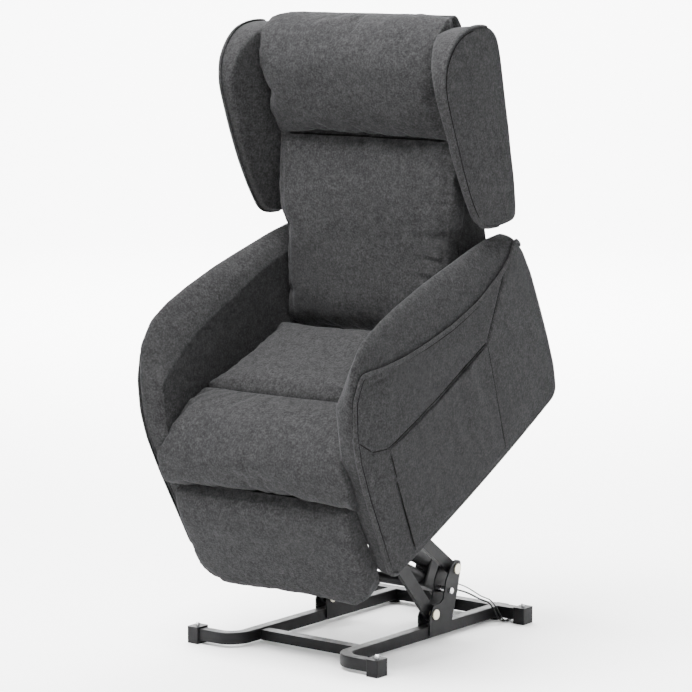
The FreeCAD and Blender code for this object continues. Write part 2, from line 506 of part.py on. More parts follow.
CUSHION_BACK = STILE_HALF + 0.5
face_low, face_seam = on_back(6, CUSHION_BACK), on_back(492, CUSHION_BACK)
CUSHION_HALF = 243.0
BACK_CUSHION = [(512, 300), (536, 360), (600, 478), (655, 590), (722, 694), face_seam, face_low, (532, 264)]
cushion = prism(BACK_CUSHION, -CUSHION_HALF, CUSHION_HALF, [14, 60, 200, 200, 16, 2, 2, 14])
for notch in both_sides(box(SIDE_PLATE_IN - 3, CUSHION_HALF + 1, 480, 640, 240, 308)):
    cushion = cushion.cut(notch)
nodes["back_cushion"] = chair(cushion)
PILLOW = [(726, 702), (718, 770), (734, 890), (772, 944), (838, 961), (893, 930), (898, 902),
          on_back(lean + 30, -STILE_HALF), on_back(lean + 30, CUSHION_BACK), on_back(495, CUSHION_BACK)]
nodes["head_pillow"] = chair(prism(PILLOW, -CUSHION_HALF, CUSHION_HALF, [14, 80, 60, 50, 50, 20, 6, 2, 2, 2]))

WING = [(634, 523), (629, 600), (634, 680), (644, 760), (664, 870), (700, 925), (779, 950), (858, 922),
        (882, 884), (850, 799), (738, 486)]
WING_R = [12, 60, 100, 150, 60, 60, 100, 30, 20, 100, 10]
WING_IN, WING_OUT, WING_EDGE = 250.0, 334.0, 24.0
wing = prism(WING, WING_IN, WING_OUT, WING_R)
WING_FRONT, WING_FLARE_END = 600.0, 790.0
flare = [V(WING_IN - 5, WING_FRONT, 0), V(WING_OUT - WING_EDGE, WING_FRONT, 0), V(WING_IN, WING_FLARE_END, 0),
         V(WING_IN - 5, WING_FLARE_END, 0)]
wing = wing.cut(Part.Face(Part.makePolygon(flare + flare[:1])).extrude(V(0, 0, 1200)))
pair("wing", chair(wing))

OUT_TOP, OUT_MID, OUT_LOW = (900, 884), (752, 480), (699, 306)
BACK_SKIN_T = 9.0
upper_back = [OUT_TOP, OUT_MID, (OUT_MID[0] - BACK_SKIN_T, OUT_MID[1] + 2),
              (OUT_TOP[0] - BACK_SKIN_T, OUT_TOP[1] + 2)]
lower_back = [(OUT_MID[0] + 7, OUT_MID[1] + 20), OUT_LOW, (OUT_LOW[0] - BACK_SKIN_T, OUT_LOW[1] + 2),
              (OUT_MID[0] + 7 - BACK_SKIN_T, OUT_MID[1] + 22)]
outside_back = prism(upper_back, 2 - WING_OUT, WING_OUT - 2)
outside_back = outside_back.fuse(prism(lower_back, -CUSHION_HALF, CUSHION_HALF))
nodes["outside_back"] = chair(outside_back.removeSplitter())

# recliner drive, under the seat
run, climb = RECLINE_CRANK[0] - RECLINE_CLEVIS[0], RECLINE_CRANK[1] - RECLINE_CLEVIS[1]
recline_reach = math.hypot(run, climb)
recline_rise = math.degrees(math.atan2(climb, run))
RECLINE_TUBE_END, RECLINE_ROD_START = 300.0, 150.0
gearbox, tube, motor, rod = drive(RECLINE_CLEVIS, recline_rise, recline_reach, RECLINE_X, RECLINE_TUBE_END,
                                  RECLINE_ROD_START, 0, -MOTOR_OFFSET)
nodes["recline_drive_housing"] = chair(gearbox.fuse(tube).removeSplitter())
nodes["recline_drive_motor"] = chair(motor)
nodes["recline_drive_rod"] = chair(rod)
chair_pins.append(headed_pin(RECLINE_CLEVIS, DRIVE_PIN_R, RECLINE_X - CLEVIS_GAP - CLEVIS_T,
                             RECLINE_X + CLEVIS_GAP + CLEVIS_T, DRIVE_HEAD_R, DRIVE_HEAD_T))
group("chair_pivot_pins", [chair(s) for s in chair_pins])

# ---------------------------------------------------------------- footrest
REAR_LINK_X, FRONT_LINK_X, LINK_T = 210.0, 217.0, 5.0
FOOT_LINK_W = 24.0
foot_tube = rod_x(*FOOT_PIVOT, 10, -REAR_LINK_X, REAR_LINK_X)
foot_axle = rod_x(*FOOT_PIVOT, PIN_R, -SIDE_PLATE_OUT - 2, SIDE_PLATE_OUT + 2)
nodes["footrest_torque_tube"] = chair(foot_tube.fuse(foot_axle).removeSplitter())
rear_link = bar(FOOT_PIVOT, FOOT_KNEE, FOOT_LINK_W, REAR_LINK_X, REAR_LINK_X + LINK_T,
                [(FOOT_PIVOT, PIN_R), (FOOT_KNEE, FOOT_PIN_R)])
front_link = bar(FOOT_KNEE, FOOT_EYE, FOOT_LINK_W, FRONT_LINK_X, FRONT_LINK_X + LINK_T,
                 [(FOOT_KNEE, FOOT_PIN_R + RUN_FIT), (FOOT_EYE, FOOT_PIN_R + RUN_FIT)])


def with_pin(piece, pivot):
    """Piece of the footrest linkage with its riveted pin."""
    pin = headed_pin(pivot, FOOT_PIN_R, REAR_LINK_X, FRONT_LINK_X + LINK_T + 0.5, DRIVE_HEAD_R, 2.5)
    return piece.fuse(pin).removeSplitter()


group("footrest_rear_links", [chair(s) for s in both_sides(with_pin(rear_link, FOOT_KNEE))])
group("footrest_front_links", [chair(s) for s in both_sides(front_link)])
FOOT_BOARD_BACK = 12.0
FOOT_LOW, FOOT_TOP, FOOT_CORNER_R = -54.0, 193.0, 76.0


def foot_panel(v_low, v_high, inset):
    """Panel with big round lower corners, drawn across X and w and given its thickness along v."""
    half, low, top = SEAT_HALF - inset, FOOT_LOW + inset, FOOT_TOP - inset
    corners = [V(-half, v_low, low), V(half, v_low, low), V(half, v_low, top), V(-half, v_low, top)]
    wire = corner_path(corners, [FOOT_CORNER_R, FOOT_CORNER_R, 8, 8], True)
    return Part.Face(wire).extrude(V(0, v_high - v_low, 0))


nodes["footrest_board"] = chair(foot_panel(0.2, FOOT_BOARD_BACK, 6))
nodes["footrest_cushion"] = chair(foot_panel(-42, 0, 0))
foot_ear = [(FOOT_BOARD_BACK, FOOT_EYE[1] - 34), (FOOT_EYE[0] + 9, FOOT_EYE[1] - 9),
            (FOOT_EYE[0] + 9, FOOT_EYE[1] + 9), (FOOT_BOARD_BACK, FOOT_EYE[1] + 15)]
foot_ear = prism(foot_ear, REAR_LINK_X, REAR_LINK_X + LINK_T, [0, 8, 8, 0])
group("footrest_brackets", [chair(s) for s in both_sides(with_pin(foot_ear, FOOT_EYE))])

# ---------------------------------------------------------------- junction box and leads
BOX_X = (-62.0, -6.0)
BOX_LOW, BOX_TOP = RAIL_LOW + RAIL_H, 88.0
case = box(*BOX_X, REAR_TUBE_Y - 16, REAR_TUBE_Y + 18, BOX_LOW, BOX_TOP)
nodes["junction_box"] = case.makeFillet(4, [e for e in case.Edges if e.CenterOfMass.z > BOX_LOW + 1])
LENS_R = 5.0
nodes["status_lens"] = Part.makeCylinder(LENS_R, 3, V(-34, REAR_TUBE_Y - 19, 72), V(0, 1, 0))
RELIEF_LENGTH = 24.0
LEAD_EXIT_Y, LEAD_EXIT_Z, BRANCH_EXIT_Z = REAR_TUBE_Y + 1.6, 55.0, 72.0
relief_start, relief_end = BOX_X[1], BOX_X[1] + RELIEF_LENGTH
reliefs = []
for z, box_r, lead_r in ((LEAD_EXIT_Z, 6, 3.2), (BRANCH_EXIT_Z, 4.5, 2.2)):
    reliefs.append(Part.makeCone(box_r, lead_r, RELIEF_LENGTH, V(relief_start, LEAD_EXIT_Y, z), V(1, 0, 0)))
group("strain_reliefs", reliefs)

coil_r = COIL_RADII[-1] + LEAD_D / 2
LEAD_FLOOR = LEAD_D / 2 + 0.1
lead_end = (COIL_AT[0] + coil_r - 0.5, COIL_AT[1] - 4, LEAD_FLOOR)
LEAD_ROUTE = [(relief_end, LEAD_EXIT_Y, LEAD_EXIT_Z), (52, 377, 54), (84, 371, 49), (114, 355, 47.5),
              (140, 336, 50.5), (166, 326, 50), (184, 322, 34), (190, 330, 12), (190, 354, LEAD_FLOOR),
              (186, 384, LEAD_FLOOR), (174, 412, LEAD_FLOOR), (150, 431, LEAD_FLOOR), lead_end]
BRANCH_FLOOR = BRANCH_D / 2 + 0.1
BRANCH_ROUTE = [(relief_end, LEAD_EXIT_Y, BRANCH_EXIT_Z), (54, 377, 68), (86, 374, 58), (117, 359, 53.5),
                (143, 340, 56.5), (169, 330, 55.5), (189, 327, 37), (196, 336, 13),
                (195.5, 358, BRANCH_FLOOR), (191, 380, BRANCH_FLOOR), (185.5, 396, 2.6)]


def lead(route, diameter, name):
    """Round lead along straight runs and tangent arcs, each arc as large as its two runs allow."""
    points = [V(*p) for p in route]
    radii = [0.0]
    for last, corner, following in zip(points, points[1:], points[2:]):
        turn = (corner - last).getAngle(following - corner)
        run = min((corner - last).Length, (following - corner).Length)
        radii.append(0.45 * run / math.tan(turn / 2))
    radii.append(0.0)
    path = corner_path(points, radii, False)
    first = path.Edges[0]
    ahead = first.tangentAt(first.FirstParameter)
    section = Part.Wire([Part.makeCircle(diameter / 2, points[0], ahead)])
    tube = path.makePipeShell([section], True, False)
    area = math.pi * diameter ** 2 / 4
    print(name, "radii", [round(r, 1) for r in radii[1:-1]], "runs",
          [round((b - a).Length, 1) for a, b in zip(points, points[1:])],
          "length %.1f" % path.Length, "volume ratio %.4f" % (tube.Volume / (area * path.Length)))
    return tube


nodes["power_lead"] = lead(LEAD_ROUTE, LEAD_D, "power_lead")
nodes["branch_lead"] = lead(BRANCH_ROUTE, BRANCH_D, "branch_lead")
coil_height = COIL_LAYERS * LEAD_D
coil = Part.makeCylinder(coil_r, coil_height, V(*COIL_AT, 0.1))
nodes["lead_coil"] = coil.cut(Part.makeCylinder(COIL_RADII[0] - LEAD_D / 2, coil_height + 2, V(*COIL_AT, -1)))
coil_length = sum(2 * math.pi * r for r in COIL_RADII) * COIL_LAYERS
print("coil holds %.0f mm of lead" % coil_length)
SPLICE_R, SPLICE_LENGTH = 4.6, 22.0
nodes["lead_splice"] = Part.makeCylinder(SPLICE_R, SPLICE_LENGTH, V(183.5, 393, SPLICE_R), V(-12, 28, 0))
PLUG_HALF, PLUG_DEPTH, PLUG_H = 16.0, 12.0, 9.0
plug_front = COIL_AT[1] + coil_r
plug = box(COIL_AT[0] - PLUG_HALF, COIL_AT[0] + PLUG_HALF, plug_front, plug_front + PLUG_DEPTH, 0, PLUG_H)
long_edges = [e for e in plug.Edges if abs(e.Vertexes[0].X - e.Vertexes[1].X) > PLUG_HALF]
nodes["lead_plug"] = plug.makeFillet(2, long_edges)

# ---------------------------------------------------------------- export
os.makedirs("parts", exist_ok=True)
for name, shape in nodes.items():
    shape.exportStep("parts/" + name + ".step")
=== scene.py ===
import math

import bmesh
import bpy
import numpy as np
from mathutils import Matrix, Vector

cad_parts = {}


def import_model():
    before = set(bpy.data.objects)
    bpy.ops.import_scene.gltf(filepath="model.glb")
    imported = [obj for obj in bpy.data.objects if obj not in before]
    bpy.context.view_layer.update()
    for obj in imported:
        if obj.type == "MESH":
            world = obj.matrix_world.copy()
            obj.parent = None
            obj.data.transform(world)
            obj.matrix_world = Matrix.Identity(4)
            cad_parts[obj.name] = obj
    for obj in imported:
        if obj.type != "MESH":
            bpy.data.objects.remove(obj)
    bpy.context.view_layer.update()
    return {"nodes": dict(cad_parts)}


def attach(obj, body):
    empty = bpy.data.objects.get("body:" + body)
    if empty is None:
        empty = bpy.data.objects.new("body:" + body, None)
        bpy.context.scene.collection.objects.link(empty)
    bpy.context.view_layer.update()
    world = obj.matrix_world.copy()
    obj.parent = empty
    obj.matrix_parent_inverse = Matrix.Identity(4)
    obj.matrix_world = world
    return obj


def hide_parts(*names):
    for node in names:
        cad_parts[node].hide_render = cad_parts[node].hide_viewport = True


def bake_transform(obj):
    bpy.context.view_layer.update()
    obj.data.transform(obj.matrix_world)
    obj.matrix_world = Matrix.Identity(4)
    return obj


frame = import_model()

# Lift recliner chair.  Soft parts are given in the chair's own frame in millimetres: x across, v rearward and
# w up along and square to the bottom edge of the arms.  world() tips that frame forward as the lift holds it.
TILT = math.radians(30)
TIP_Y, TIP_Z = -230.0, 213.0
MM = 0.001


def world(points):
    """Chair frame millimetres to row frame metres."""
    p = np.asarray(points, float)
    x, v, w = p[..., 0], p[..., 1], p[..., 2]
    y = TIP_Y + v * math.cos(TILT) - w * math.sin(TILT)
    z = TIP_Z + v * math.sin(TILT) + w * math.cos(TILT)
    return np.stack([x, y, z], -1) * MM


def chair_frame(points):
    """Row frame metres to chair frame millimetres."""
    p = np.asarray(points, float) / MM
    y, z = p[..., 1] - TIP_Y, p[..., 2] - TIP_Z
    return np.stack([p[..., 0], y * math.cos(TILT) + z * math.sin(TILT),
                     z * math.cos(TILT) - y * math.sin(TILT)], -1)


# ---------------------------------------------------------------- camera
camera_data = bpy.data.cameras.new("camera")
camera_data.lens = 157.43  # long lens, well back from the chair
camera_data.sensor_width = 36.0
camera_data.clip_end = 50.0
camera = bpy.data.objects.new("camera", camera_data)
bpy.context.scene.collection.objects.link(camera)
camera.location = (4.24992, -5.52331, 1.680)
look, down = math.radians(37.694), math.radians(8.040)
ahead = Vector((-math.sin(look) * math.cos(down), math.cos(look) * math.cos(down), -math.sin(down)))
camera.rotation_mode = "QUATERNION"
camera.rotation_quaternion = ahead.to_track_quat("-Z", "Y")
bpy.context.scene.camera = camera


# ---------------------------------------------------------------- materials
def material(name, color, rough, metallic=0.0, sheen=0.0, coat=0.0, specular=0.5):
    """Principled material with its constant values on the shader's own sockets."""
    mat = bpy.data.materials.new(name)
    mat.use_nodes = True
    shader = mat.node_tree.nodes["Principled BSDF"]
    shader.inputs["Base Color"].default_value = (*color, 1)
    shader.inputs["Roughness"].default_value = rough
    shader.inputs["Metallic"].default_value = metallic
    shader.inputs["Specular IOR Level"].default_value = specular
    shader.inputs["Sheen Weight"].default_value = sheen
    shader.inputs["Sheen Roughness"].default_value = 0.45
    shader.inputs["Coat Weight"].default_value = coat
    return mat, shader


def node(mat, kind, **values):
    made = mat.node_tree.nodes.new(kind)
    for key, value in values.items():
        if hasattr(made, key):
            setattr(made, key, value)
        else:
            made.inputs[key.replace("_", " ")].default_value = value
    return made


def join(mat, source, target):
    mat.node_tree.links.new(source, target)


def ramp(mat, source, stops):
    made = node(mat, "ShaderNodeValToRGB")
    made.color_ramp.elements[0].position, made.color_ramp.elements[0].color = stops[0][0], (*stops[0][1], 1)
    made.color_ramp.elements[1].position, made.color_ramp.elements[1].color = stops[-1][0], (*stops[-1][1], 1)
    for position, color in stops[1:-1]:
        made.color_ramp.elements.new(position).color = (*color, 1)
    join(mat, source, made.inputs["Fac"])
    return made.outputs["Color"]


def mixed(mat, blend_type, factor, a, b):
    made = mat.node_tree.nodes.new("ShaderNodeMix")
    made.data_type = "RGBA"
    made.blend_type = blend_type
    made.inputs["Factor"].default_value = factor
    join(mat, a, made.inputs[6])
    join(mat, b, made.inputs[7])
    return made.outputs[2]


def bump(mat, shader, height, strength, distance):
    """Relief from a height output, its depth in metres."""
    made = node(mat, "ShaderNodeBump", Strength=strength, Distance=distance)
    join(mat, height, made.inputs["Height"])
    join(mat, made.outputs["Normal"], shader.inputs["Normal"])


def grey(value):
    """Grey with a trace of blue."""
    return value, value, value * 1.02


def fabric(name, low, mid, high, weave=0.5):
    """Melange microfibre: mottled nap, short pale and dark flecks of yarn and a fine woven relief."""
    mat, shader = material(name, grey(mid), 0.92, sheen=0.04, specular=0.015)
    shader.inputs["Sheen Tint"].default_value = (0.8, 0.82, 0.86, 1)
    where = node(mat, "ShaderNodeTexCoord").outputs["Object"]
    blotch = node(mat, "ShaderNodeTexNoise", Scale=75.0, Detail=3.0, Roughness=0.75)
    flecks = node(mat, "ShaderNodeTexNoise", Scale=230.0, Detail=1.0, Roughness=0.6)
    for texture in (blotch, flecks):
        join(mat, where, texture.inputs["Vector"])
    base = ramp(mat, blotch.outputs["Fac"], [(0.34, grey(low)), (0.50, grey(mid)), (0.66, grey(high))])
    dark, light = grey(low * 0.55), grey(high * 1.45)
    fleck = ramp(mat, flecks.outputs["Fac"], [(0.30, dark), (0.50, grey(mid)), (0.70, light)])
    join(mat, mixed(mat, "MIX", 0.4, base, fleck), shader.inputs["Base Color"])
    turned = node(mat, "ShaderNodeMapping")
    turned.inputs["Rotation"].default_value = (0.6, 0.3, 0.7)
    threads = node(mat, "ShaderNodeTexWave", Scale=150.0, Distortion=2.5, Detail=0.0)
    join(mat, where, turned.inputs["Vector"])
    join(mat, turned.outputs["Vector"], threads.inputs["Vector"])
    relief = mixed(mat, "MIX", weave * 0.4, flecks.outputs["Fac"], threads.outputs["Fac"])
    bump(mat, shader, relief, 0.6, 0.0011)
    return mat


def worn_metal(name, color, rough, metallic, grain=320.0, edge=1.6, coat=0.0, specular=0.5):
    """Painted or plated metal with orange-peel relief, patchy gloss and lighter worn spots."""
    mat, shader = material(name, color, rough, metallic, coat=coat, specular=specular)
    where = node(mat, "ShaderNodeTexCoord").outputs["Object"]
    patches = node(mat, "ShaderNodeTexNoise", Scale=38.0, Detail=3.0, Roughness=0.7)
    peel = node(mat, "ShaderNodeTexNoise", Scale=grain, Detail=1.0, Roughness=0.5)
    for texture in (patches, peel):
        join(mat, where, texture.inputs["Vector"])
    join(mat, ramp(mat, patches.outputs["Fac"], [(0.30, tuple(c * 0.82 for c in color)), (0.62, color),
                                                 (0.80, tuple(min(1, c * edge) for c in color))]),
         shader.inputs["Base Color"])
    glossy, dull = (rough * 0.85,) * 3, (min(1, rough * 1.25),) * 3
    join(mat, ramp(mat, patches.outputs["Fac"], [(0.3, glossy), (0.75, dull)]), shader.inputs["Roughness"])
    bump(mat, shader, peel.outputs["Fac"], 0.25, 0.0005)
    return mat


def wood():
    mat, shader = material("frame_wood", (0.48, 0.32, 0.18), 0.7)
    where = node(mat, "ShaderNodeTexCoord").outputs["Object"]
    rings = node(mat, "ShaderNodeTexWave", Scale=14.0, Distortion=6.0, Detail=4.0)
    join(mat, where, rings.inputs["Vector"])
    join(mat, ramp(mat, rings.outputs["Fac"], [(0.1, (0.36, 0.22, 0.11)), (0.6, (0.50, 0.34, 0.19)),
                                               (0.95, (0.58, 0.42, 0.26))]), shader.inputs["Base Color"])
    bump(mat, shader, rings.outputs["Fac"], 0.2, 0.0008)
    return mat


CLOTH = fabric("charcoal_fabric", 0.0120, 0.0182, 0.0265)
# slightly lighter copy of the cover cloth: painted highlight along the welt cords
WELT_PAINTED_HIGHLIGHT = fabric("welt_fabric", 0.0132, 0.0200, 0.0290, weave=0.35)
THREAD = fabric("sewing_thread", 0.017, 0.024, 0.032, weave=0.8)
# near-black copy of the cover cloth: painted shade for the shadow lines along the seams
SEAM_SHADE_CLOTH = fabric("seam_shadow", 0.0015, 0.0022, 0.0035, weave=0.3)
DUST = fabric("dust_cloth", 0.003, 0.0045, 0.0065, weave=0.9)
STEEL = worn_metal("black_steel", (0.0035, 0.0035, 0.0040), 0.45, 0.0, edge=2.0, specular=0.14)
PLASTIC = worn_metal("black_plastic", (0.0045, 0.0045, 0.0050), 0.5, 0.0, grain=600.0, edge=1.4,
                     specular=0.14)
RUBBER = worn_metal("black_rubber", (0.005, 0.005, 0.005), 0.8, 0.0, grain=200.0, edge=1.3, specular=0.1)
BRIGHT = worn_metal("bright_steel", (0.55, 0.55, 0.56), 0.28, 1.0, grain=90.0, edge=1.2)
RIVET = worn_metal("zinc_rivet", (0.62, 0.58, 0.47), 0.38, 0.85, grain=150.0, edge=1.25)
TIMBER = wood()
LENS = worn_metal("green_lens", (0.02, 0.42, 0.06), 0.2, 0.0, coat=0.6, edge=1.4)

SLOT_MATERIALS = {"upholstery_fabric": CLOTH, "black_steel": STEEL, "black_plastic": PLASTIC,
                  "black_rubber": RUBBER, "bright_steel": BRIGHT, "zinc_rivet": RIVET, "frame_wood": TIMBER,
                  "green_lens": LENS}
for cad_node in frame["nodes"].values():
    for place, packed in enumerate(cad_node.data.materials):
        cad_node.data.materials[place] = SLOT_MATERIALS[packed.name.split(".")[0]]


# ---------------------------------------------------------------- mesh helpers
def new_object(name, vertices, faces, mat):
    mesh = bpy.data.meshes.new(name)
    mesh.from_pydata([tuple(map(float, p)) for p in vertices], [], faces)
    mesh.materials.append(mat)
    made = bpy.data.objects.new(name, mesh)
    bpy.context.scene.collection.objects.link(made)
    repair = bmesh.new()
    repair.from_mesh(mesh)
    bmesh.ops.recalc_face_normals(repair, faces=repair.faces)
    repair.to_mesh(mesh)
    repair.free()
    mesh.polygons.foreach_set("use_smooth", [True] * len(mesh.polygons))
    return made


def ring_faces(rings, count):
    """Quads between successive closed rings, with a fan of the first and last rings to a pole each."""
    faces = []
    for r in range(rings - 1):
        for i in range(count):
            a, b = r * count + i, r * count + (i + 1) % count
            faces.append((a, b, b + count, a + count))
    first, last = rings * count, rings * count + 1
    for i in range(count):
        j = (i + 1) % count
        faces.append((first, j, i))
        faces.append((last, (rings - 1) * count + i, (rings - 1) * count + j))
    return faces


def ring_object(name, rings, mat):
    """Closed mesh from a stack of rings in chair millimetres."""
    rings = np.asarray(rings)
    points = np.concatenate([rings.reshape(-1, 3), rings[0].mean(0)[None], rings[-1].mean(0)[None]])
    return new_object(name, world(points), ring_faces(len(rings), rings.shape[1]), mat)


def run_along(points):
    """Distance along a line at each of its points."""
    return np.concatenate([[0], np.cumsum(np.linalg.norm(np.diff(points, axis=0), axis=1))])


def sampled(t, along, points):
    """Points of a line at distances t, where along holds the distances of its own points."""
    return np.stack([np.interp(t, along, points[:, c]) for c in range(points.shape[1])], 1)


def resample(keys, count, soften):
    """Closed line through keys, even by its first two columns, its corners rounded over soften samples."""
    keys = np.asarray(keys, float)
    closed = np.vstack([keys, keys[:1]])
    along = run_along(closed[:, :2])
    t = np.linspace(0, along[-1], count, endpoint=False)
    line = sampled(t, along, closed)
    reach = np.arange(-3 * int(math.ceil(soften)), 3 * int(math.ceil(soften)) + 1)
    weights = np.exp(-0.5 * (reach / soften) ** 2)
    weights /= weights.sum()
    return sum(w * np.roll(line, -int(k), axis=0) for k, w in zip(reach, weights))


def shell_faces(columns, rows):
    """Faces of a thin closed shell whose front grid of points is followed by its back grid."""
    count, faces = columns * rows, []
    for j in range(rows - 1):
        for i in range(columns - 1):
            a, b = j * columns + i, j * columns + i + 1
            faces.append((a, b, b + columns, a + columns))
            faces.append((count + a + columns, count + b + columns, count + b, count + a))
    ring = (list(range(columns)) + [j * columns + columns - 1 for j in range(1, rows)]
            + [(rows - 1) * columns + i for i in range(columns - 2, -1, -1)]
            + [j * columns for j in range(rows - 2, 0, -1)])
    for a, b in zip(ring, ring[1:] + ring[:1]):
        faces.append((b, a, count + a, count + b))
    return faces


def through(points, steps):
    """Catmull-Rom line through stacked control points (list of arrays of the same shape)."""
    p = [2 * points[0] - points[1], *points, 2 * points[-1] - points[-2]]
    made = []
    for i in range(1, len(p) - 2):
        for k in range(steps):
            t = k / steps
            made.append(0.5 * (2 * p[i] + (p[i + 1] - p[i - 1]) * t
                               + (2 * p[i - 1] - 5 * p[i] + 4 * p[i + 1] - p[i + 2]) * t * t
                               + (3 * p[i] - p[i - 1] - 3 * p[i + 1] + p[i + 2]) * t ** 3))
    made.append(p[-2])
    return made


def subdivide(obj):
    modifier = obj.modifiers.new("fine", "SUBSURF")
    modifier.levels = modifier.render_levels = 1
    return obj


def ripple(x, y, z):
    """Smooth irregular field from about -1 to 1 with features about one unit across."""
    x, y = x + 0.45 * np.sin(1.3 * y + 0.7 * z), y + 0.45 * np.sin(1.1 * x + 1.9)
    total = 0.0
    for k in range(7):
        turn, rise = 2.4 * k + 0.7, math.cos(1.7 * k + 0.4)
        flat = math.sqrt(1 - rise * rise * 0.5)
        along = x * flat * math.cos(turn) + y * flat * math.sin(turn) + z * rise
        total = total + np.sin((1.9 + 0.55 * k) * along + 1.3 * k * k)
    return total / 4.2


def lumps(points, scale, seed):
    """Smooth noise from -1 to 1 at chair-frame points, features about scale millimetres across."""
    p = np.asarray(points) / scale
    return ripple(p[:, 0] + seed, p[:, 1] - seed, p[:, 2])


STRIP_SIDES = 12


def strip(name, line, normals, width, height, mat, taper):
    """Flat rounded welt along a line, tapered over its last points: width in the surface, height off it."""
    line, normals = np.asarray(line), np.asarray(normals)
    tangent = np.gradient(line, axis=0)
    tangent /= np.linalg.norm(tangent, axis=1)[:, None]
    normals = normals - (normals * tangent).sum(1)[:, None] * tangent
    normals /= np.linalg.norm(normals, axis=1)[:, None]
    across = np.cross(tangent, normals)
    section = []
    for k in range(STRIP_SIDES):
        a = 2 * math.pi * k / STRIP_SIDES
        c, s = math.cos(a), math.sin(a)
        section.append((width / 2 * math.copysign(abs(c) ** 0.7, c),
                        height / 2 * math.copysign(abs(s) ** 0.8, s)))
    rows = len(line)
    scale = np.ones(rows)
    for i in range(taper):
        scale[i] = scale[-1 - i] = math.sin(math.pi / 2 * (i + 0.4) / taper)
    points = np.stack([line + across * (a * scale)[:, None] + normals * (h * scale)[:, None]
                       for a, h in section], 1).reshape(-1, 3)
    faces = []
    for r in range(rows - 1):
        for k in range(STRIP_SIDES):
            a, b = r * STRIP_SIDES + k, r * STRIP_SIDES + (k + 1) % STRIP_SIDES
            faces.append((a, b, b + STRIP_SIDES, a + STRIP_SIDES))
    faces.append(tuple(range(STRIP_SIDES - 1, -1, -1)))
    faces.append(tuple((rows - 1) * STRIP_SIDES + k for k in range(STRIP_SIDES)))
    return new_object(name, world(points), faces, mat)


def laid_on(obj, points, direction, lift=0.0, back=80.0):
    """Points cast along a chair-frame direction onto an object's surface, with the surface normals."""
    target = obj.evaluated_get(bpy.context.evaluated_depsgraph_get())
    origin, ahead_of = world(np.zeros(3)), world(np.asarray(direction, float) * 1000)
    step = Vector(ahead_of - origin).normalized()
    found, normals = [], []
    for p in world(points):
        met, place, normal, _ = target.ray_cast(Vector(p) - step * back * MM, step)
        if not met:
            continue
        if normal.dot(step) > 0:
            normal = -normal
        found.append(tuple(place + normal * lift * MM))
        normals.append(tuple(normal))
    found, normals = np.array(found), np.array(normals)
    return chair_frame(found), chair_frame(normals + origin) / 1000


def even(points, spacing):
    """Points evenly spaced along an open line."""
    points = np.asarray(points, float)
    along = run_along(points)
    return sampled(np.linspace(0, along[-1], max(2, int(along[-1] / spacing) + 1)), along, points)


def stitches(name, lines, body, length=4.2, gap=2.4, radius=0.55):
    """Row of separate thread stitches along lines of (points, normals)."""
    vertices, faces = [], []
    for points, normals in lines:
        along = run_along(points)
        start = 0.0
        while start + length < along[-1]:
            ends = sampled([start, start + length], along, points)
            normal = sampled([start], along, normals)[0]
            run = (ends[1] - ends[0]) / np.linalg.norm(ends[1] - ends[0])
            side = np.cross(run, normal)
            base = len(vertices)
            for share, size in ((0.0, 0.35), (0.2, 1.0), (0.8, 1.0), (1.0, 0.35)):
                middle = ends[0] + (ends[1] - ends[0]) * share + normal * (size - 0.55) * radius
                for k in range(6):
                    a = math.pi * k / 3
                    vertices.append(middle + (side * math.cos(a) + normal * math.sin(a)) * radius * size)
            for r in range(3):
                for k in range(6):
                    a, b = base + r * 6 + k, base + r * 6 + (k + 1) % 6
                    faces.append((a, b, b + 6, a + 6))
            faces.append(tuple(base + k for k in range(5, -1, -1)))
            faces.append(tuple(base + 18 + k for k in range(6)))
            start += length + gap
    made = new_object(name, world(vertices), faces, THREAD)
    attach(made, body)
    return made


def upholstered(obj, body, nodes=()):
    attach(obj, body)
    if nodes:
        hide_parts(*nodes)
    return obj


# ---------------------------------------------------------------- leads
# diameters in metres; routes, the coil and the height of a lead lying on the floor in row frame millimetres
LEAD_D, BRANCH_D = 0.0045, 0.003
LEAD_Z = 2.35
LEAD_ROUTE = [(18, 377, 55), (52, 377, 54), (84, 371, 49), (114, 355, 47.5), (140, 336, 50.5), (166, 326, 50),
              (184, 322, 34), (190, 330, 12), (190, 354, LEAD_Z), (186, 384, LEAD_Z), (174, 412, LEAD_Z),
              (150, 431, LEAD_Z)]
BRANCH_ROUTE = [(18, 377, 72), (54, 377, 68), (86, 374, 58), (117, 359, 53.5), (143, 340, 56.5),
                (169, 330, 55.5), (189, 327, 37), (196, 336, 13), (195.5, 358, 1.6), (191, 380, 1.6),
                (185.5, 396, 2.6)]
COIL_AT, COIL_RADII = (92.0, 446.0), (32.75, 28.25, 23.75, 19.25)
TURN_POINTS, COIL_START = 16, math.radians(24)


def coil_points():
    """Two flat layers of turns, wound inwards on the floor and back outwards on top of it."""
    made = []
    pitch = LEAD_D / MM
    for layer, radii in enumerate((COIL_RADII, COIL_RADII[::-1])):
        for turn, radius in enumerate(radii):
            last = turn == len(radii) - 1
            for k in range(TURN_POINTS):
                share = k / TURN_POINTS
                step = 0.0 if last else max(0.0, min(1.0, (share - 0.5) * 4)) * (radii[turn + 1] - radius)
                climb = max(0.0, share - 0.75) * 4 * pitch if last and layer == 0 else 0.0
                a, reach = COIL_START + 2 * math.pi * share, radius + step
                made.append((COIL_AT[0] + reach * math.cos(a), COIL_AT[1] + reach * math.sin(a),
                             LEAD_Z + layer * pitch + climb))
    tail = COIL_START + 2 * math.pi * 0.18
    for k in range(1, 4):
        a = COIL_START + (tail - COIL_START) * k / 3
        reach = COIL_RADII[0]
        made.append((COIL_AT[0] + reach * math.cos(a), COIL_AT[1] + reach * math.sin(a), LEAD_Z + pitch))
    return made


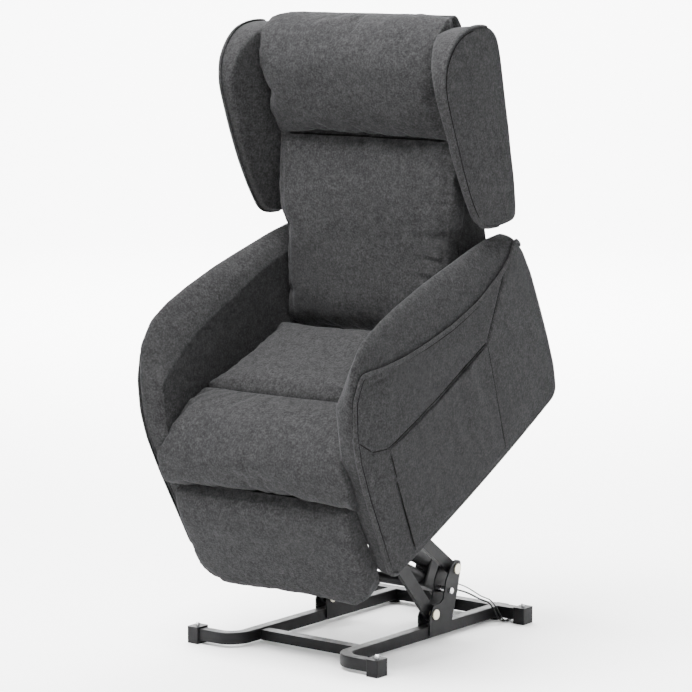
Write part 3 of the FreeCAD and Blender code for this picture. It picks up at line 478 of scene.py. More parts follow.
def lead(name, points, diameter):
    """Round lead whose line is a smooth NURBS spline with the points as its control points."""
    data = bpy.data.curves.new(name, "CURVE")
    data.dimensions = "3D"
    data.bevel_depth = diameter / 2
    data.bevel_resolution = 4
    data.resolution_u = 6
    data.use_fill_caps = True
    spline = data.splines.new("NURBS")
    spline.points.add(len(points) - 1)
    for p, (x, y, z) in zip(spline.points, points):
        p.co = (x * MM, y * MM, z * MM, 1)
    spline.order_u = 3
    spline.use_endpoint_u = True
    data.materials.append(PLASTIC)
    made = bpy.data.objects.new(name, data)
    bpy.context.scene.collection.objects.link(made)
    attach(made, "base")
    return made


nodes = frame["nodes"]
main_lead = lead("supply_lead", LEAD_ROUTE + [(128, 444, LEAD_Z)] + coil_points(), LEAD_D)
side_lead = lead("side_lead", BRANCH_ROUTE, BRANCH_D)
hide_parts("power_lead", "lead_coil")
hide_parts("branch_lead")

# ---------------------------------------------------------------- arms
ARM_SAMPLES = 480
# stations round the arm: welt v, w; crown v, w, x; inner edge v, w
ARM_STATIONS = [
    (3, 20, 4, 18, 278, 10, 22), (7, 116, 9, 116, 278, 13, 116), (11, 230, 13, 230, 278, 18, 230),
    (20, 323, 22, 326, 280, 28, 320), (37, 385, 38, 391, 286, 51, 378), (70, 452, 66, 462, 294, 73, 436),
    (114, 494, 108, 516, 300, 134, 456), (175, 470, 167, 546, 303, 180, 462),
    (240, 450, 237, 548, 305, 240, 466), (317, 431, 311, 541, 305, 305, 466),
    (420, 410, 420, 523, 305, 416, 460), (526, 397, 530, 499, 304, 530, 452),
    (634, 399, 634, 476, 300, 640, 434), (686, 408, 692, 460, 295, 690, 422),
    (732, 430, 738, 440, 286, 728, 408), (748, 385, 755, 383, 284, 735, 370),
    (753, 318, 759, 318, 284, 739, 318), (747, 231, 753, 231, 284, 733, 231),
    (740, 149, 745, 149, 284, 726, 149), (729, 69, 733, 69, 284, 716, 70),
    (710, 12, 714, 8, 284, 700, 20), (690, 2, 692, -1, 284, 684, 10), (560, 2, 560, -2, 284, 556, 10),
    (380, 2, 380, -2, 284, 380, 10), (190, 2, 190, -2, 282, 196, 10), (30, 2, 26, -2, 276, 44, 10)]
ARM_CENTRE = np.array([392.0, 205.0])
ARM_INNER_X = 250.0


def curve3(v, at_front, at_middle, at_rear):
    """Quadratic through values at v = -60, 350 and 800."""
    a, b, c = -60.0, 350.0, 800.0
    front = at_front * (v - b) * (v - c) / ((a - b) * (a - c))
    middle = at_middle * (v - a) * (v - c) / ((b - a) * (b - c))
    rear = at_rear * (v - a) * (v - b) / ((c - a) * (c - b))
    return front + middle + rear


def arm_face(v, w):
    """Outer face of the arm, x over v and w."""
    low, high = curve3(v, 283, 312, 318), curve3(v, 303, 351, 322)
    x = low + (high - low) * (w + 60) / 660
    return x - 9 * np.exp(-((v - 90) ** 2 + (w - 480) ** 2) / (2 * 70.0 ** 2))


def arm_relief(v, w):
    """Padding and creases of the outer face, in millimetres off arm_face."""
    z = 1.8 * ripple(v / 150, w / 110, 3.1) + 0.7 * ripple(v / 45, w / 60, 7.7)
    # tucked pleat under the front corner of the welt
    along = (v - 160) * 0.97 + (w - 452) * -0.22
    square = (v - 160) * 0.22 + (w - 452) * 0.97
    z -= 4.5 * np.exp(-(along / 26) ** 2 - (square / 5) ** 2)
    z += 2.2 * np.exp(-(along / 30) ** 2 - ((square + 11) / 6) ** 2)
    return z


def seam_dent(v, w, a, b, depth, reach):
    """Depth of a sewn line from a to b at points v, w."""
    a, b = np.asarray(a, float), np.asarray(b, float)
    run = b - a
    t = np.clip(((v - a[0]) * run[0] + (w - a[1]) * run[1]) / (run @ run), 0, 1)
    d = np.hypot(v - a[0] - t * run[0], w - a[1] - t * run[1])
    return depth * np.exp(-(d / reach) ** 2)


# pocket on the left arm: mouth, front edge and rear seam in v, w
POCKET = [(103, 217), (113, 295), (510, 295), (466, 20), (90, 20)]
FRONT_SEAM = [(44, 362), (70, 318), (113, 296)]
REAR_STITCH = [(514, 299), (643, 392)]


def arm(side, name, seams):
    """Outer panel and padded inner arm of one side, as two closed pieces, with the welt between them."""
    lines = resample(ARM_STATIONS, ARM_SAMPLES, 1.6)
    welt, crown, inner = lines[:, 0:2], lines[:, 2:5], lines[:, 5:7]
    shares = np.concatenate([np.linspace(0.03, 0.9, 34), np.linspace(0.92, 1.0, 8)])
    rings, backs = [], []
    for s in shares:
        p = ARM_CENTRE + (welt - ARM_CENTRE) * s
        v, w = p[:, 0], p[:, 1]
        x = arm_face(v, w) + arm_relief(v, w) * min(1, (1 - s) * 12) + 2.5 * (1 - s ** 6)
        x -= 3.2 * np.exp(-((1 - s) / 0.012) ** 2)
        for a, b in seams:
            x -= seam_dent(v, w, a, b, 2.6, 4.5)
        rings.append(np.stack([side * x, v, w], 1))
    for s in (1.0, 0.97, 0.7, 0.4, 0.1):
        p = ARM_CENTRE + (welt - ARM_CENTRE) * s
        backs.append(np.stack([side * (arm_face(p[:, 0], p[:, 1]) - 9), p[:, 0], p[:, 1]], 1))
    panel = ring_object("arm_panel_" + name, rings + backs, CLOTH)
    upholstered(panel, "chair", ["arm_side_panel_" + name])

    edge_x = arm_face(welt[:, 0], welt[:, 1])
    a = np.column_stack([edge_x - 4.0, welt + (ARM_CENTRE - welt) * 0.010])
    b = np.column_stack([np.full(ARM_SAMPLES, ARM_INNER_X), inner])
    c = np.stack([crown[:, 2], crown[:, 0], crown[:, 1]], 1)
    q = a + (c - a) * 0.55
    q[:, 0] = edge_x - 0.32 * (edge_x - c[:, 0])
    q[:, 1:] += (welt - ARM_CENTRE) * 0.004
    top = np.clip((welt[:, 1] - 400) / 60, 0, 1)[:, None]
    r = b + (c - b) * (0.6 - 0.18 * top)
    r[:, 0] = b[:, 0] + 0.33 * (c[:, 0] - b[:, 0])
    rim = through([a, q, c, r, b], 7)
    for row in rim[1:-1]:
        row[:, 1:] += 0.9 * lumps(row, 70, 2.0 + side)[:, None] * (welt - ARM_CENTRE) / 400
    start = []
    for s in (0.1, 0.5, 0.9, 0.985):
        p = ARM_CENTRE + (welt - ARM_CENTRE) * s
        start.append(np.stack([arm_face(p[:, 0], p[:, 1]) - 10.5, p[:, 0], p[:, 1]], 1))
    faces = []
    for s in np.concatenate([np.linspace(0.985, 0.9, 5), np.linspace(0.86, 0.03, 26)]):
        p = ARM_CENTRE + (inner - ARM_CENTRE) * s
        flat = np.stack([p[:, 0] * 0, p[:, 0], p[:, 1]], 1)
        x = ARM_INNER_X - 1.6 * (1 - s) + 0.8 * lumps(flat, 90, 5.0 + side)
        faces.append(np.stack([x, p[:, 0], p[:, 1]], 1))
    rings = [row * np.array([side, 1, 1]) for row in start + rim + faces]
    pad = ring_object("arm_pad_cover_" + name, rings, CLOTH)
    upholstered(pad, "chair", ["arm_pad_" + name])

    outward = np.stack([np.full(ARM_SAMPLES, 0.8), *((welt - ARM_CENTRE) / np.linalg.norm(
        welt - ARM_CENTRE, axis=1)[:, None] * 0.6).T], 1)
    top = np.clip((welt[:, 1] - 330) / 100, 0, 1)[:, None]
    outward = outward * (1 - top) + np.array([1.0, 0, 0.22]) * top
    keep = [i for i in range(ARM_SAMPLES) if not (welt[i, 1] < 14 and welt[i, 0] > 30)
            and not (welt[i, 0] > 690 and welt[i, 1] < 400)]
    cut = next(k for k in range(len(keep)) if keep[k] - keep[k - 1] > 5) if max(np.diff(keep)) > 5 else 0
    order = keep[cut:] + keep[:cut]
    line = np.column_stack([edge_x + 0.6, welt])[order] * np.array([side, 1, 1])
    cord = strip("arm_welt_" + name, line, outward[order] * np.array([side, 1, 1]), 11.0, 5.6, WELT_PAINTED_HIGHLIGHT, taper=2)
    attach(subdivide(cord), "chair")
    return panel


left_panel = arm(1, "left", [FRONT_SEAM[:2], FRONT_SEAM[1:], REAR_STITCH])
right_panel = arm(-1, "right", [])


def pocket():
    """Patch pocket sewn to the left arm: a thin closed sheet with hanging folds and a lipped mouth."""
    columns, rows = 90, 64
    front, back = [], []
    top_front, top_rear = np.array(POCKET[1]), np.array(POCKET[2])
    low_front, low_rear = np.array(POCKET[4]), np.array(POCKET[3])
    for j in range(rows):
        t = j / (rows - 1)
        for i in range(columns):
            s = i / (columns - 1)
            head = top_front + (top_rear - top_front) * s
            foot = low_front + (low_rear - low_front) * s
            p = head + (foot - head) * t
            p[0] += -7 * math.sin(math.pi * min(1.0, t * 1.6)) * (1 - s) ** 3
            if j < 6:
                p[1] -= 2.0 * math.sin(math.pi * s)
            free = min(1.0, min(s, 1 - s) * 18)
            fold = 2.4 * math.sin(p[0] / 17 + 0.8 * math.sin(p[1] / 60)) * ripple(p[0] / 70, p[1] / 260, 1.0)
            fold += 3.0 * math.exp(-((p[0] - (300 + 60 * t)) / 15) ** 2) * math.exp(-((t - 0.45) / 0.4) ** 2)
            fold += 2.0 * math.exp(-((p[0] - (222 + 70 * t)) / 12) ** 2) * math.exp(-((t - 0.3) / 0.35) ** 2)
            fold += 2.2 * math.exp(-((p[0] - (418 + 10 * t)) / 13) ** 2) * math.exp(-((t - 0.35) / 0.4) ** 2)
            lip = 1.4 * math.exp(-(t / 0.04) ** 2)
            lift = 3.0 + (1.4 + fold + lip) * free * (1 - 0.7 * t ** 4)
            x = float(arm_face(p[0], p[1])) + 2.0
            front.append((x + lift, p[0], p[1]))
            back.append((x + min(lift - 1.4, 1.0), p[0], p[1]))
    made = new_object("pocket_cloth", world(front + back), shell_faces(columns, rows), CLOTH)
    subdivide(made)
    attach(made, "chair")
    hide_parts("side_pocket")
    return made


pocket_cloth = pocket()


# ---------------------------------------------------------------- cushions by cloth simulation
def copy_of(name, source):
    """Mesh object with the points and faces of a CAD node, its doubled points welded."""
    mesh = nodes[source].data
    points = [p.co for p in mesh.vertices]
    made = new_object(name, points, [tuple(f.vertices) for f in mesh.polygons], CLOTH)
    weld = bmesh.new()
    weld.from_mesh(made.data)
    bmesh.ops.remove_doubles(weld, verts=weld.verts, dist=0.00005)
    weld.to_mesh(made.data)
    weld.free()
    return made


def applied(obj):
    """The object's modifiers baked into its mesh."""
    mesh = bpy.data.meshes.new_from_object(obj.evaluated_get(bpy.context.evaluated_depsgraph_get()))
    obj.modifiers.clear()
    obj.data = mesh
    mesh.polygons.foreach_set("use_smooth", [True] * len(mesh.polygons))
    return obj


def remeshed(obj, voxel, smooth):
    modifier = obj.modifiers.new("voxels", "REMESH")
    modifier.mode = "VOXEL"
    modifier.voxel_size = voxel * MM
    modifier.use_smooth_shade = True
    rounder = obj.modifiers.new("rounder", "SMOOTH")
    rounder.factor = 0.6
    rounder.iterations = smooth
    return applied(obj)


def chair_points(obj):
    co = np.empty(len(obj.data.vertices) * 3)
    obj.data.vertices.foreach_get("co", co)
    return chair_frame(co.reshape(-1, 3))


def set_points(obj, points):
    obj.data.vertices.foreach_set("co", world(points).ravel())
    obj.data.update()


def normals_of(obj):
    n = np.empty(len(obj.data.vertices) * 3)
    obj.data.vertices.foreach_get("normal", n)
    n = n.reshape(-1, 3)
    c, s = math.cos(TILT), math.sin(TILT)
    return np.stack([n[:, 0], n[:, 1] * c + n[:, 2] * s, n[:, 2] * c - n[:, 1] * s], -1)


SWELL_FRAMES = 20


def prepare(obj, pinned, pressure, growth, shrink):
    """Adds the cloth that will swell, with the points that pinned() picks held where they are."""
    points = chair_points(obj)
    held = pinned(points)
    moved = points - normals_of(obj) * shrink * (1 - held)[:, None]
    set_points(obj, moved)
    group = obj.vertex_groups.new(name="held")
    for i in np.nonzero(held > 0)[0]:
        group.add([int(i)], float(held[i]), "REPLACE")
    cloth = obj.modifiers.new("cloth", "CLOTH")
    settings = cloth.settings
    settings.quality = 5
    settings.mass = 0.25
    settings.tension_stiffness = 25
    settings.compression_stiffness = 25
    settings.shear_stiffness = 10
    settings.bending_stiffness = 0.8
    settings.air_damping = 3
    settings.use_pressure = True
    settings.uniform_pressure_force = pressure
    settings.shrink_min = -growth
    settings.vertex_group_mass = "held"
    settings.pin_stiffness = 1.0
    settings.effector_weights.gravity = 0.0
    cloth.collision_settings.use_collision = False
    cloth.point_cache.frame_start = 1
    cloth.point_cache.frame_end = SWELL_FRAMES
    obj["start"] = moved.ravel().tolist()
    return obj


def simulate(objects, cap):
    """Swells every prepared object together, then caps how far each point has gone."""
    for step in range(1, SWELL_FRAMES + 1):
        bpy.context.scene.frame_set(step)
    for obj in objects:
        start = np.array(list(obj["start"])).reshape(-1, 3)
        del obj["start"]
        applied(obj)
        move = chair_points(obj) - start
        far = np.linalg.norm(move, axis=1)
        limit = cap[obj.name]
        scale = np.where(far > 1e-6, limit * np.tanh(far / limit) / np.maximum(far, 1e-6), 0.0)
        set_points(obj, start + move * scale[:, None])
    bpy.context.scene.frame_set(1)


# hinge of the back in v, w, and the directions up along the back and forward out of it
HINGE = np.array([560.0, 250.0])
UP = np.array([308.0, 620.0]) / math.hypot(308.0, 620.0)
FORWARD = np.array([-UP[1], UP[0]])


def on_back(points):
    """Distance up the back from its hinge and forward of the frame's plane."""
    d = points[:, 1:] - HINGE
    return d @ UP, d @ FORWARD


def hold(test, band=12.0):
    """Pin weight from 0 to 1 for a signed distance into the held region."""
    return np.clip(test / band, 0, 1)


seat = remeshed(copy_of("seat_cushion_cover", "seat_cushion"), 6.0, 3)
prepare(seat, lambda p: hold(225 - p[:, 2]), 3.2, 0.02, 3.0)
roll = remeshed(copy_of("seat_roll_cover", "seat_front_roll"), 6.0, 4)
prepare(roll, lambda p: np.maximum(hold(p[:, 1] - 180), hold(212 - p[:, 2]) * hold(p[:, 1] - 45)),
        3.2, 0.02, 4.0)
back = remeshed(copy_of("back_cushion_cover", "back_cushion"), 6.0, 5)
prepare(back, lambda p: hold(24 - on_back(p)[1]), 3.4, 0.03, 4.0)
pillow = remeshed(copy_of("head_pillow_cover", "head_pillow"), 6.0, 6)
prepare(pillow, lambda p: hold(24 - on_back(p)[1]), 3.6, 0.03, 5.0)
foot = remeshed(copy_of("footrest_cover", "footrest_cushion"), 6.0, 4)
prepare(foot, lambda p: hold(p[:, 1] + 8, 6.0), 2.6, 0.01, 3.0)
# furthest that each cover's points may swell, in millimetres
SWELL_CAPS = {"seat_cushion_cover": 12, "seat_roll_cover": 22, "back_cushion_cover": 18,
              "head_pillow_cover": 22, "footrest_cover": 9}
simulate([seat, roll, back, pillow, foot], SWELL_CAPS)


def pucker(distance, along, reach, size, pitch):
    """Short gathers running off a seam: distance from it, position along it."""
    gathers = ripple(along / pitch, distance / (3 * pitch), 2.2)
    return size * np.exp(-np.maximum(distance, 0) / reach) * gathers


# seat: flat crown, slack across it
p, n = chair_points(seat), normals_of(seat)
top = np.clip(n[:, 2], 0, 1)
p += n * (top * (2.2 * lumps(p, 120, 1.0) + 0.9 * lumps(p, 45, 4.0)))[:, None]
p[:, 2] -= 5.0 * np.exp(-((p[:, 1] - 193) / 6.0) ** 2) * top
set_points(seat, p)
upholstered(subdivide(seat), "chair", ["seat_cushion"])

# roll: full low front, its ends swelling past the arms in front of them
p, n = chair_points(roll), normals_of(roll)
low = np.clip((262 - p[:, 2]) / 60, 0, 1) * np.clip((90 - p[:, 1]) / 90, 0, 1)
p[:, 1] -= 24 * low
p[:, 2] -= 18 * low
wide = np.clip((60 - p[:, 1]) / 50, 0, 1) * np.clip((350 - p[:, 2]) / 70, 0, 1)
p[:, 0] *= 1 + np.where(p[:, 0] < 0, 0.15, 0.085) * wide
free = np.clip((14 - p[:, 1]) / 20, 0, 1)
p[:, 1] -= 7 * free
p += n * (1.7 * lumps(p, 130, 8.0) + 0.7 * lumps(p, 48, 3.0))[:, None]
end = np.abs(p[:, 0])
p += n * pucker(275 - end, p[:, 2], 22, 1.8, 28)[:, None] * free[:, None]
p[:, 2] -= 5.0 * np.exp(-((p[:, 1] - 192) / 7.0) ** 2) * np.clip(n[:, 2], 0, 1)
set_points(roll, p)
upholstered(subdivide(roll), "chair", ["seat_front_roll"])

# back cushion: side seams pull in at 224 mm, creases run in from the left one
p, n = chair_points(back), normals_of(back)
along, forward = on_back(p)
face = np.clip(n[:, 1:] @ FORWARD, 0, 1)
size = 2.4 * lumps(p, 150, 2.0) + 0.9 * lumps(p, 50, 6.0)
for sign in (1, -1):
    size -= 3.4 * np.exp(-((sign * p[:, 0] - 224) / 5.0) ** 2)
# height of each crease on the back, its slope, depth and length
CREASES = ((150, 0.10, 4.2, 60), (195, 0.05, 3.2, 48), (255, -0.08, 2.6, 55), (105, 0.16, 3.2, 70),
           (330, -0.12, 2.0, 60), (60, 0.05, 2.4, 80))
for centre, drop, amount, length in CREASES:
    reach = np.clip((222 - p[:, 0]) / length, 0, 3)
    line = along - centre - drop * (222 - p[:, 0]) - 4 * np.sin(p[:, 0] / 23)
    size -= amount * np.exp(-(line / 6.5) ** 2) * np.exp(-reach ** 2) * (p[:, 0] < 224)
    size += 0.8 * amount * np.exp(-((line - 13) / 7.5) ** 2) * np.exp(-reach ** 2) * (p[:, 0] < 224)
size += pucker(470 - along, p[:, 0], 22, 1.6, 26)
size += pucker(along - 40, p[:, 0], 30, 2.2, 34)
p += n * (size * face)[:, None]
p[:, 0] *= 1 + 0.075 * np.clip((along - 240) / 70, 0, 1)
p[:, 1:] += UP * (12 * np.clip((along - 400) / 80, 0, 1))[:, None]
set_points(back, p)
upholstered(subdivide(back), "backrest", ["back_cushion"])

# pillow: fuller low down, gathered along its lower seam and at its ends
p, n = chair_points(pillow), normals_of(pillow)
along, forward = on_back(p)
size = 2.6 * lumps(p, 140, 5.0) + 1.0 * lumps(p, 48, 9.0)
size += pucker(along - 500, p[:, 0], 18, 1.8, 30)
size += pucker(240 - np.abs(p[:, 0]), along, 14, 1.6, 26)
p += n * (size * np.clip(forward / 30, 0, 1))[:, None]
p[:, 0] *= 1 + 0.055 * np.clip(forward / 60, 0, 1)
p[:, 1:] -= UP * (16 * np.clip((600 - along) / 90, 0, 1))[:, None]
set_points(pillow, p)
upholstered(subdivide(pillow), "backrest", ["head_pillow"])

# footrest: slack panel with a wavy lower hem
p, n = chair_points(foot), normals_of(foot)
low = np.clip((30 - p[:, 2]) / 60, 0, 1)
p[:, 2] += 2.5 * low * np.sin(p[:, 0] / 44 + 0.6) * np.clip((246 - np.abs(p[:, 0])) / 60, 0, 1)
p += n * ((1.6 * lumps(p, 110, 7.0) + 0.8 * lumps(p, 42, 1.0)) * np.clip(-n[:, 1], 0, 1))[:, None]
top = np.clip((p[:, 2] - 120) / 72, 0, 1)
lean = 26 * top ** 1.5 * np.clip(-p[:, 1] / 15, 0, 1)
wrap = 14 * np.clip((p[:, 1] + 22) / 22, 0, 1) * (1 - 0.5 * top ** 6)
p[:, 1] += lean + wrap
p[:, 0] *= 1.034
p[:, 2] += 14 * top - 3 * np.clip((20 - p[:, 2]) / 60, 0, 1)
set_points(foot, p)
upholstered(subdivide(foot), "footrest_panel", ["footrest_cushion"])

# ---------------------------------------------------------------- wings
# stations round the wing: v, w of the outer edge, then how far the inner edge sits inside it
WING_STATIONS = [
    (636, 530, 7), (630, 600, 7), (634, 680, 7), (644, 760, 7), (664, 868, 7), (694, 918, 7), (742, 944, 7),
    (786, 950, 7), (836, 936, 6), (884, 908, 5), (904, 870, 4), (892, 824, 3), (876, 779, 3), (838, 668, 3),
    (801, 556, 3), (765, 464, 4), (704, 486, 6), (662, 508, 7)]
WING_SAMPLES = 300
WING_CENTRE = np.array([733.0, 725.0])
WELT_W = 11.0


def wing_outer(v, w):
    """Outer face of the wing: a little fuller in its middle."""
    middle = np.exp(-((v - 750) / 95) ** 2 - ((w - 760) / 190) ** 2)
    return 325.5 + 6.0 * middle + 1.2 * ripple(v / 90, w / 90, 4.4)


def wing_inner(v):
    """Inner face of the wing, from its thin front edge back to the cushion."""
    t = np.clip((v - 622) / 168, 0, 1)
    return 309 - 57 * t ** 1.15 - 5.0 * np.sin(math.pi * t)


def wing(side, name):
    keys = resample(WING_STATIONS, WING_SAMPLES, 4.0)
    edge, gap = keys[:, :2], keys[:, 2]
    inward = (WING_CENTRE - edge) / np.linalg.norm(WING_CENTRE - edge, axis=1)[:, None]
    rings = []
    for s in np.concatenate([np.linspace(0.03, 0.9, 26), np.linspace(0.92, 1.0, 8)]):
        p = WING_CENTRE + (edge - WING_CENTRE) * s
        x = wing_outer(p[:, 0], p[:, 1]) - 3.4 * np.exp(-((1 - s) / 0.02) ** 2)
        rings.append(np.stack([x, p[:, 0], p[:, 1]], 1))
    x_out = wing_outer(edge[:, 0], edge[:, 1])
    first = edge + inward * 1.5
    last = edge + inward * gap[:, None]
    x_in = np.minimum(wing_inner(last[:, 0]), x_out - WELT_W - 2)
    for t in (0.12, 0.25, 0.4, 0.55, 0.7, 0.85):
        p = first + (last - first) * t
        bulge = 2.5 * math.sin(math.pi * t)
        p = p - inward * bulge
        rings.append(np.stack([x_out + (x_in - x_out) * t, p[:, 0], p[:, 1]], 1))
    for s in np.concatenate([np.linspace(1.0, 0.9, 7), np.linspace(0.87, 0.03, 24)]):
        p = WING_CENTRE + (last - WING_CENTRE) * s
        x = np.minimum(wing_inner(p[:, 0]), x_out - WELT_W - 2 + 400 * (1 - s))
        x += 2.0 * np.exp(-((1 - s) / 0.03) ** 2) * (x < 300)
        x += 1.4 * ripple(p[:, 0] / 60, p[:, 1] / 60, 9.4) * (1 - s)
        rings.append(np.stack([x, p[:, 0], p[:, 1]], 1))
    rings = [r * np.array([side, 1, 1]) for r in rings]
    made = ring_object("wing_cover_" + name, rings, CLOTH)
    upholstered(made, "backrest", ["wing_" + name])
    shown = [i for i in range(WING_SAMPLES) if (edge[i] - np.array([738, 486])) @ np.array([-0.93, 0.37]) > 32
             or edge[i, 1] > 905]
    jump = [k for k in range(len(shown)) if shown[k] - shown[k - 1] > 5]
    order = shown[jump[0]:] + shown[:jump[0]] if jump else shown
    line = np.stack([x_out - WELT_W / 2 + 0.8, *(edge - inward * 0.8).T], 1)[order] * np.array([side, 1, 1])
    normal = np.stack([np.full(WING_SAMPLES, 0.32), *(-inward).T], 1)[order] * np.array([side, 1, 1])
    welt = strip("wing_welt_" + name, line, normal, WELT_W, 5.4, WELT_PAINTED_HIGHLIGHT, taper=2)
    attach(subdivide(welt), "backrest")
    return made


left_wing = wing(1, "left")
right_wing = wing(-1, "right")


# ---------------------------------------------------------------- back, apron and side panels
def slab(name, line, half, thick, crown, mat=CLOTH, columns=44, dents=()):
    """Closed panel along a (v, w) line drawn across x: thick towards the front, crowned to the rear."""
    line = np.asarray(line, float)
    along = run_along(line)
    rows = max(4, int(along[-1] / 12))
    t = np.linspace(0, along[-1], rows)
    mid = sampled(t, along, line)
    run = np.gradient(mid, axis=0)
    run /= np.linalg.norm(run, axis=1)[:, None]
    rear = np.stack([run[:, 1], -run[:, 0]], 1)
    outer, inner = [], []
    for j in range(rows):
        v = j / (rows - 1) * 2 - 1
        for i in range(columns):
            even_u = i / (columns - 1) * 2 - 1
            u = math.sin(math.pi / 2 * even_u) * 0.35 + even_u * 0.65
            x = u * half
            swell = crown * (1 - abs(u) ** 6) * (1 - abs(v) ** 8)
            swell += 1.2 * ripple(x / 130, t[j] / 120, 6.0) * (1 - abs(u) ** 12)
            for at in dents:
                swell -= 2.6 * math.exp(-((abs(x) - at) / 5.0) ** 2)
            rounding = thick * 0.42 * (abs(u) ** 40)
            p = mid[j] + rear[j] * (swell - rounding)
            q = mid[j] - rear[j] * (thick - rounding)
            outer.append((x, p[0], p[1]))
            inner.append((x, q[0], q[1]))
    return new_object(name, world(outer + inner), shell_faces(columns, rows), mat)


upper_back = subdivide(slab("outside_back_cover", [(753, 482), (800, 611), (850, 748), (899, 882)], 317, 8, 4,
                            dents=(262,)))
upholstered(upper_back, "backrest", ["outside_back"])
lower_back = subdivide(slab("outside_back_skirt", [(700, 307), (730, 398), (757, 486)], 242.5, 8, 2))
upholstered(lower_back, "backrest", ())
apron = subdivide(slab("rear_apron_cover", [(707, 42), (719, 73), (729, 149), (735.5, 221)], 245.5, 8, 1.5))
upholstered(apron, "chair", ["rear_apron"])

dust = subdivide(slab("seat_box_dust_cloth", [(45, 170), (45, 186), (45, 202)], 243, 2.0, 1.0, mat=DUST))
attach(dust, "chair")


def back_side(sign, name):
    """Fabric that closes the side of the back between its cushion and its outer cover, below the wing."""
    front = [(560, 302), (592, 372), (630, 452), (666, 524), (716, 640), (770, 760), (828, 876)]
    rear = [(697, 309), (717, 372), (741, 446), (764, 512), (808, 630), (850, 748), (893, 872)]
    outer, inner = [], []
    steps, rows = 12, 57
    for k in range(rows):
        s = k / (rows - 1) * (len(front) - 1)
        a = np.array([np.interp(s, range(len(front)), [q[c] for q in front]) for c in range(2)])
        b = np.array([np.interp(s, range(len(rear)), [q[c] for q in rear]) for c in range(2)])
        for i in range(steps):
            p = a + (b - a) * i / (steps - 1)
            swell = 1.6 * math.sin(math.pi * i / (steps - 1)) + 0.7 * ripple(p[0] / 30, p[1] / 60, sign)
            outer.append((sign * (241.5 + swell), p[0], p[1]))
            inner.append((sign * 238.5, p[0], p[1]))
    made = new_object("back_side_" + name, world(outer + inner), shell_faces(steps, rows), CLOTH)
    upholstered(subdivide(made), "backrest", ())


back_side(1, "left")
back_side(-1, "right")

# loose flap that hides the gap between the back and the apron
flap = slab("rear_flap", [(731.5, 214), (729, 240), (719, 275), (703, 312)], 236, 1.8, 1.2, columns=36)
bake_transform(flap)

# ---------------------------------------------------------------- sewing, and painted shade along the seams
def seam(name, obj, body, lines, direction, width=2.2, back=120):
    """Painted shade of sewn seams: flat dark strips laid along lines on an object's surface."""
    for k, line in enumerate(lines):
        points, normals = laid_on(obj, even(line, 5), direction, lift=0.1, back=back)
        made = strip(f"{name}_{k}", points, normals, width, 1.1, SEAM_SHADE_CLOTH, taper=3)
        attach(made, body)


SEAM_SAMPLES = 480


def ring_line(keys, centre, x, reach, soften, first, last):
    """Run of samples of a closed outline moved by reach away from its centre: last of them, from first on."""
    line = resample(keys, SEAM_SAMPLES, soften)
    line = centre + (line - centre) * (1 + reach / np.linalg.norm(line - centre, axis=1)[:, None])
    return [(x, *p) for p in np.roll(line, -first, axis=0)[:last]]


rearward = (0.0, -FORWARD[0], -FORWARD[1])
rows = []
for x in (220.4, -220.4):
    line = [(x, *(HINGE + UP * s + FORWARD * 40)) for s in range(55, 470, 6)]
    rows.append(laid_on(back, line, rearward, lift=0.15))
stitches("back_cushion_stitching", rows, "backrest")

inboard = (-1.0, 0.0, 0.0)
rows = []
for a, b, off in ((*REAR_STITCH, 4.0), (*REAR_STITCH, -3.5), (*FRONT_SEAM[:2], 4.0), (*FRONT_SEAM[1:], 4.0)):
    a, b = np.array(a, float), np.array(b, float)
    square = np.array([-(b - a)[1], (b - a)[0]]) / np.linalg.norm(b - a) * off
    line = even([(300, *(a + square)), (300, *(b + square))], 6)
    rows.append(laid_on(left_panel, line, inboard, lift=0.15, back=120))
stitches("arm_panel_stitching", rows, "chair")

rows = []
pocket_rows = (((116, 289), (506, 289)), ((505, 288), (462, 26)), ((117, 288), (107, 214)),
               ((107, 214), (94, 26)))
for a, b in pocket_rows:
    line = even([(300, *a), (300, *b)], 6)
    rows.append(laid_on(pocket_cloth, line, inboard, lift=0.15, back=120))
stitches("pocket_stitching", rows, "chair")

forward = (0.0, -0.94, 0.34)
rows = []
for x in (257, -257, 267, -267):
    line = even([(x, 790, 495), (x, 930, 872)], 8)
    rows.append(laid_on(upper_back, line, forward, lift=0.15, back=60))
stitches("outside_back_stitching", rows, "backrest")

under_pillow = HINGE + UP * 474 + FORWARD * 60
# dark strips along the pillow seam and the seat seam: painted shade in the seam lines
seam("pillow_seam_shade", back, "backrest", [[(-228, *under_pillow), (228, *under_pillow)]], rearward, width=5.0)
seam("seat_seam_shade", seat, "chair", [[(-236, 198, 380), (236, 198, 380)]], (0, 0, -1), width=3.2, back=60)
# dark strips beside the arm and wing welts: painted shadow line between each welt and its cover
outline = np.array([k[:2] for k in ARM_STATIONS], float)
for side, name, panel in ((1, "left", left_panel), (-1, "right", right_panel)):
    edge = ring_line(outline, ARM_CENTRE, side * 300, -8.5, 1.6, 2, 222)
    seam("arm_welt_seam_" + name, panel, "chair", [edge], (-side, 0, 0), width=2.6)
outline = np.array([k[:2] for k in WING_STATIONS], float)
for side, name, cover in ((1, "left", left_wing), (-1, "right", right_wing)):
    edge = ring_line(outline, WING_CENTRE, side * 320, -7.0, 6.4, 5, 210)
    seam("wing_welt_seam_" + name, cover, "backrest", [edge], (-side, 0, 0), width=2.4)
# dark strips along the pocket mouth, the panel seams and the pocket edges: painted shadow in the gaps and
# seam lines
panel_seams = (((113, 298.5), (512, 298.5)), REAR_STITCH, FRONT_SEAM[:2], FRONT_SEAM[1:])
seam("pocket_seam_shade", left_panel, "chair", [[(300, *a), (300, *b)] for a, b in panel_seams], inboard, width=2.8)
edge_seams = (((507.5, 290), (464.5, 26)), ((111.5, 290), (104, 217)), ((102, 214), (91.5, 26)))
edge_lines = [[(300, *a), (300, *b)] for a, b in edge_seams]
seam("pocket_edge_seam_shade", pocket_cloth, "chair", edge_lines, inboard, width=2.8)


# ---------------------------------------------------------------- floor, backdrop and light
FLOOR_SIDES = 96


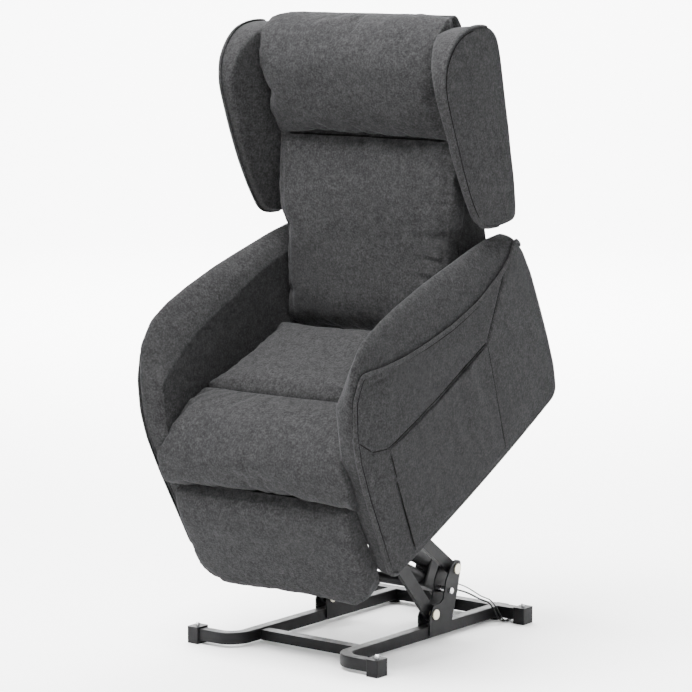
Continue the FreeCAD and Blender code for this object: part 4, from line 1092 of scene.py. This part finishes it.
def studio():
    """Round pale floor that curves up into a low wall all round."""
    profile = [(0.0, 0.0), (1.0, 0.0), (3.0, 0.0), (6.0, 0.0), (9.0, 0.0)]
    profile += [(9.0 + 2.2 * math.sin(a), 2.2 - 2.2 * math.cos(a)) for a in np.linspace(0.1, math.pi / 2, 12)]
    profile += [(11.2, 4.5), (11.2, 7.0)]
    turns = [2 * math.pi * k / FLOOR_SIDES for k in range(FLOOR_SIDES)]
    vertices, faces = [(0, 0, 0)], []
    for r, z in profile[1:]:
        vertices += [(r * math.cos(a), r * math.sin(a), z) for a in turns]
    for k in range(FLOOR_SIDES):
        faces.append((0, 1 + k, 1 + (k + 1) % FLOOR_SIDES))
    for j in range(len(profile) - 2):
        for k in range(FLOOR_SIDES):
            a, b = 1 + j * FLOOR_SIDES + k, 1 + j * FLOOR_SIDES + (k + 1) % FLOOR_SIDES
            faces.append((a, a + FLOOR_SIDES, b + FLOOR_SIDES, b))
    mesh = bpy.data.meshes.new("floor")
    mesh.from_pydata(vertices, [], faces)
    mesh.polygons.foreach_set("use_smooth", [True] * len(mesh.polygons))
    floor = bpy.data.objects.new("floor", mesh)
    bpy.context.scene.collection.objects.link(floor)
    paint, _ = material("pale_floor", (0.94, 0.94, 0.94), 0.75, specular=0.2)
    mesh.materials.append(paint)


studio()
sky = bpy.data.worlds.new("studio_light")
bpy.context.scene.world = sky
sky.use_nodes = True
sky.node_tree.nodes["Background"].inputs["Color"].default_value = (1.0, 1.0, 1.0, 1)
sky.node_tree.nodes["Background"].inputs["Strength"].default_value = 1.0


def lamp(name, place, target, size, watts):
    """Rectangular lamp at a place, turned to a target."""
    data = bpy.data.lights.new(name, "AREA")
    data.shape = "RECTANGLE"
    data.size, data.size_y = size
    data.energy = watts
    made = bpy.data.objects.new(name, data)
    made.location = place
    made.rotation_mode = "QUATERNION"
    made.rotation_quaternion = (Vector(target) - Vector(place)).to_track_quat("-Z", "Y")
    bpy.context.scene.collection.objects.link(made)


lamp("key", (-0.4, -1.5, 4.7), (0, -0.1, 0.6), (2.4, 2.2), 950)
lamp("fill", (4.2, -2.4, 3.4), (0, 0, 0.7), (2.4, 2.4), 85)
lamp("wash", (-3.2, 4.2, 5.5), (-6.9, 8.9, 1.5), (6.0, 3.0), 2800)
lamp("floor_wash", (-2.0, 2.6, 5.0), (-3.0, 4.0, 0.0), (5.0, 3.0), 1100)
lamp("rim", (0.5, 3.8, 3.6), (0, 0, 0.9), (2.6, 1.6), 120)
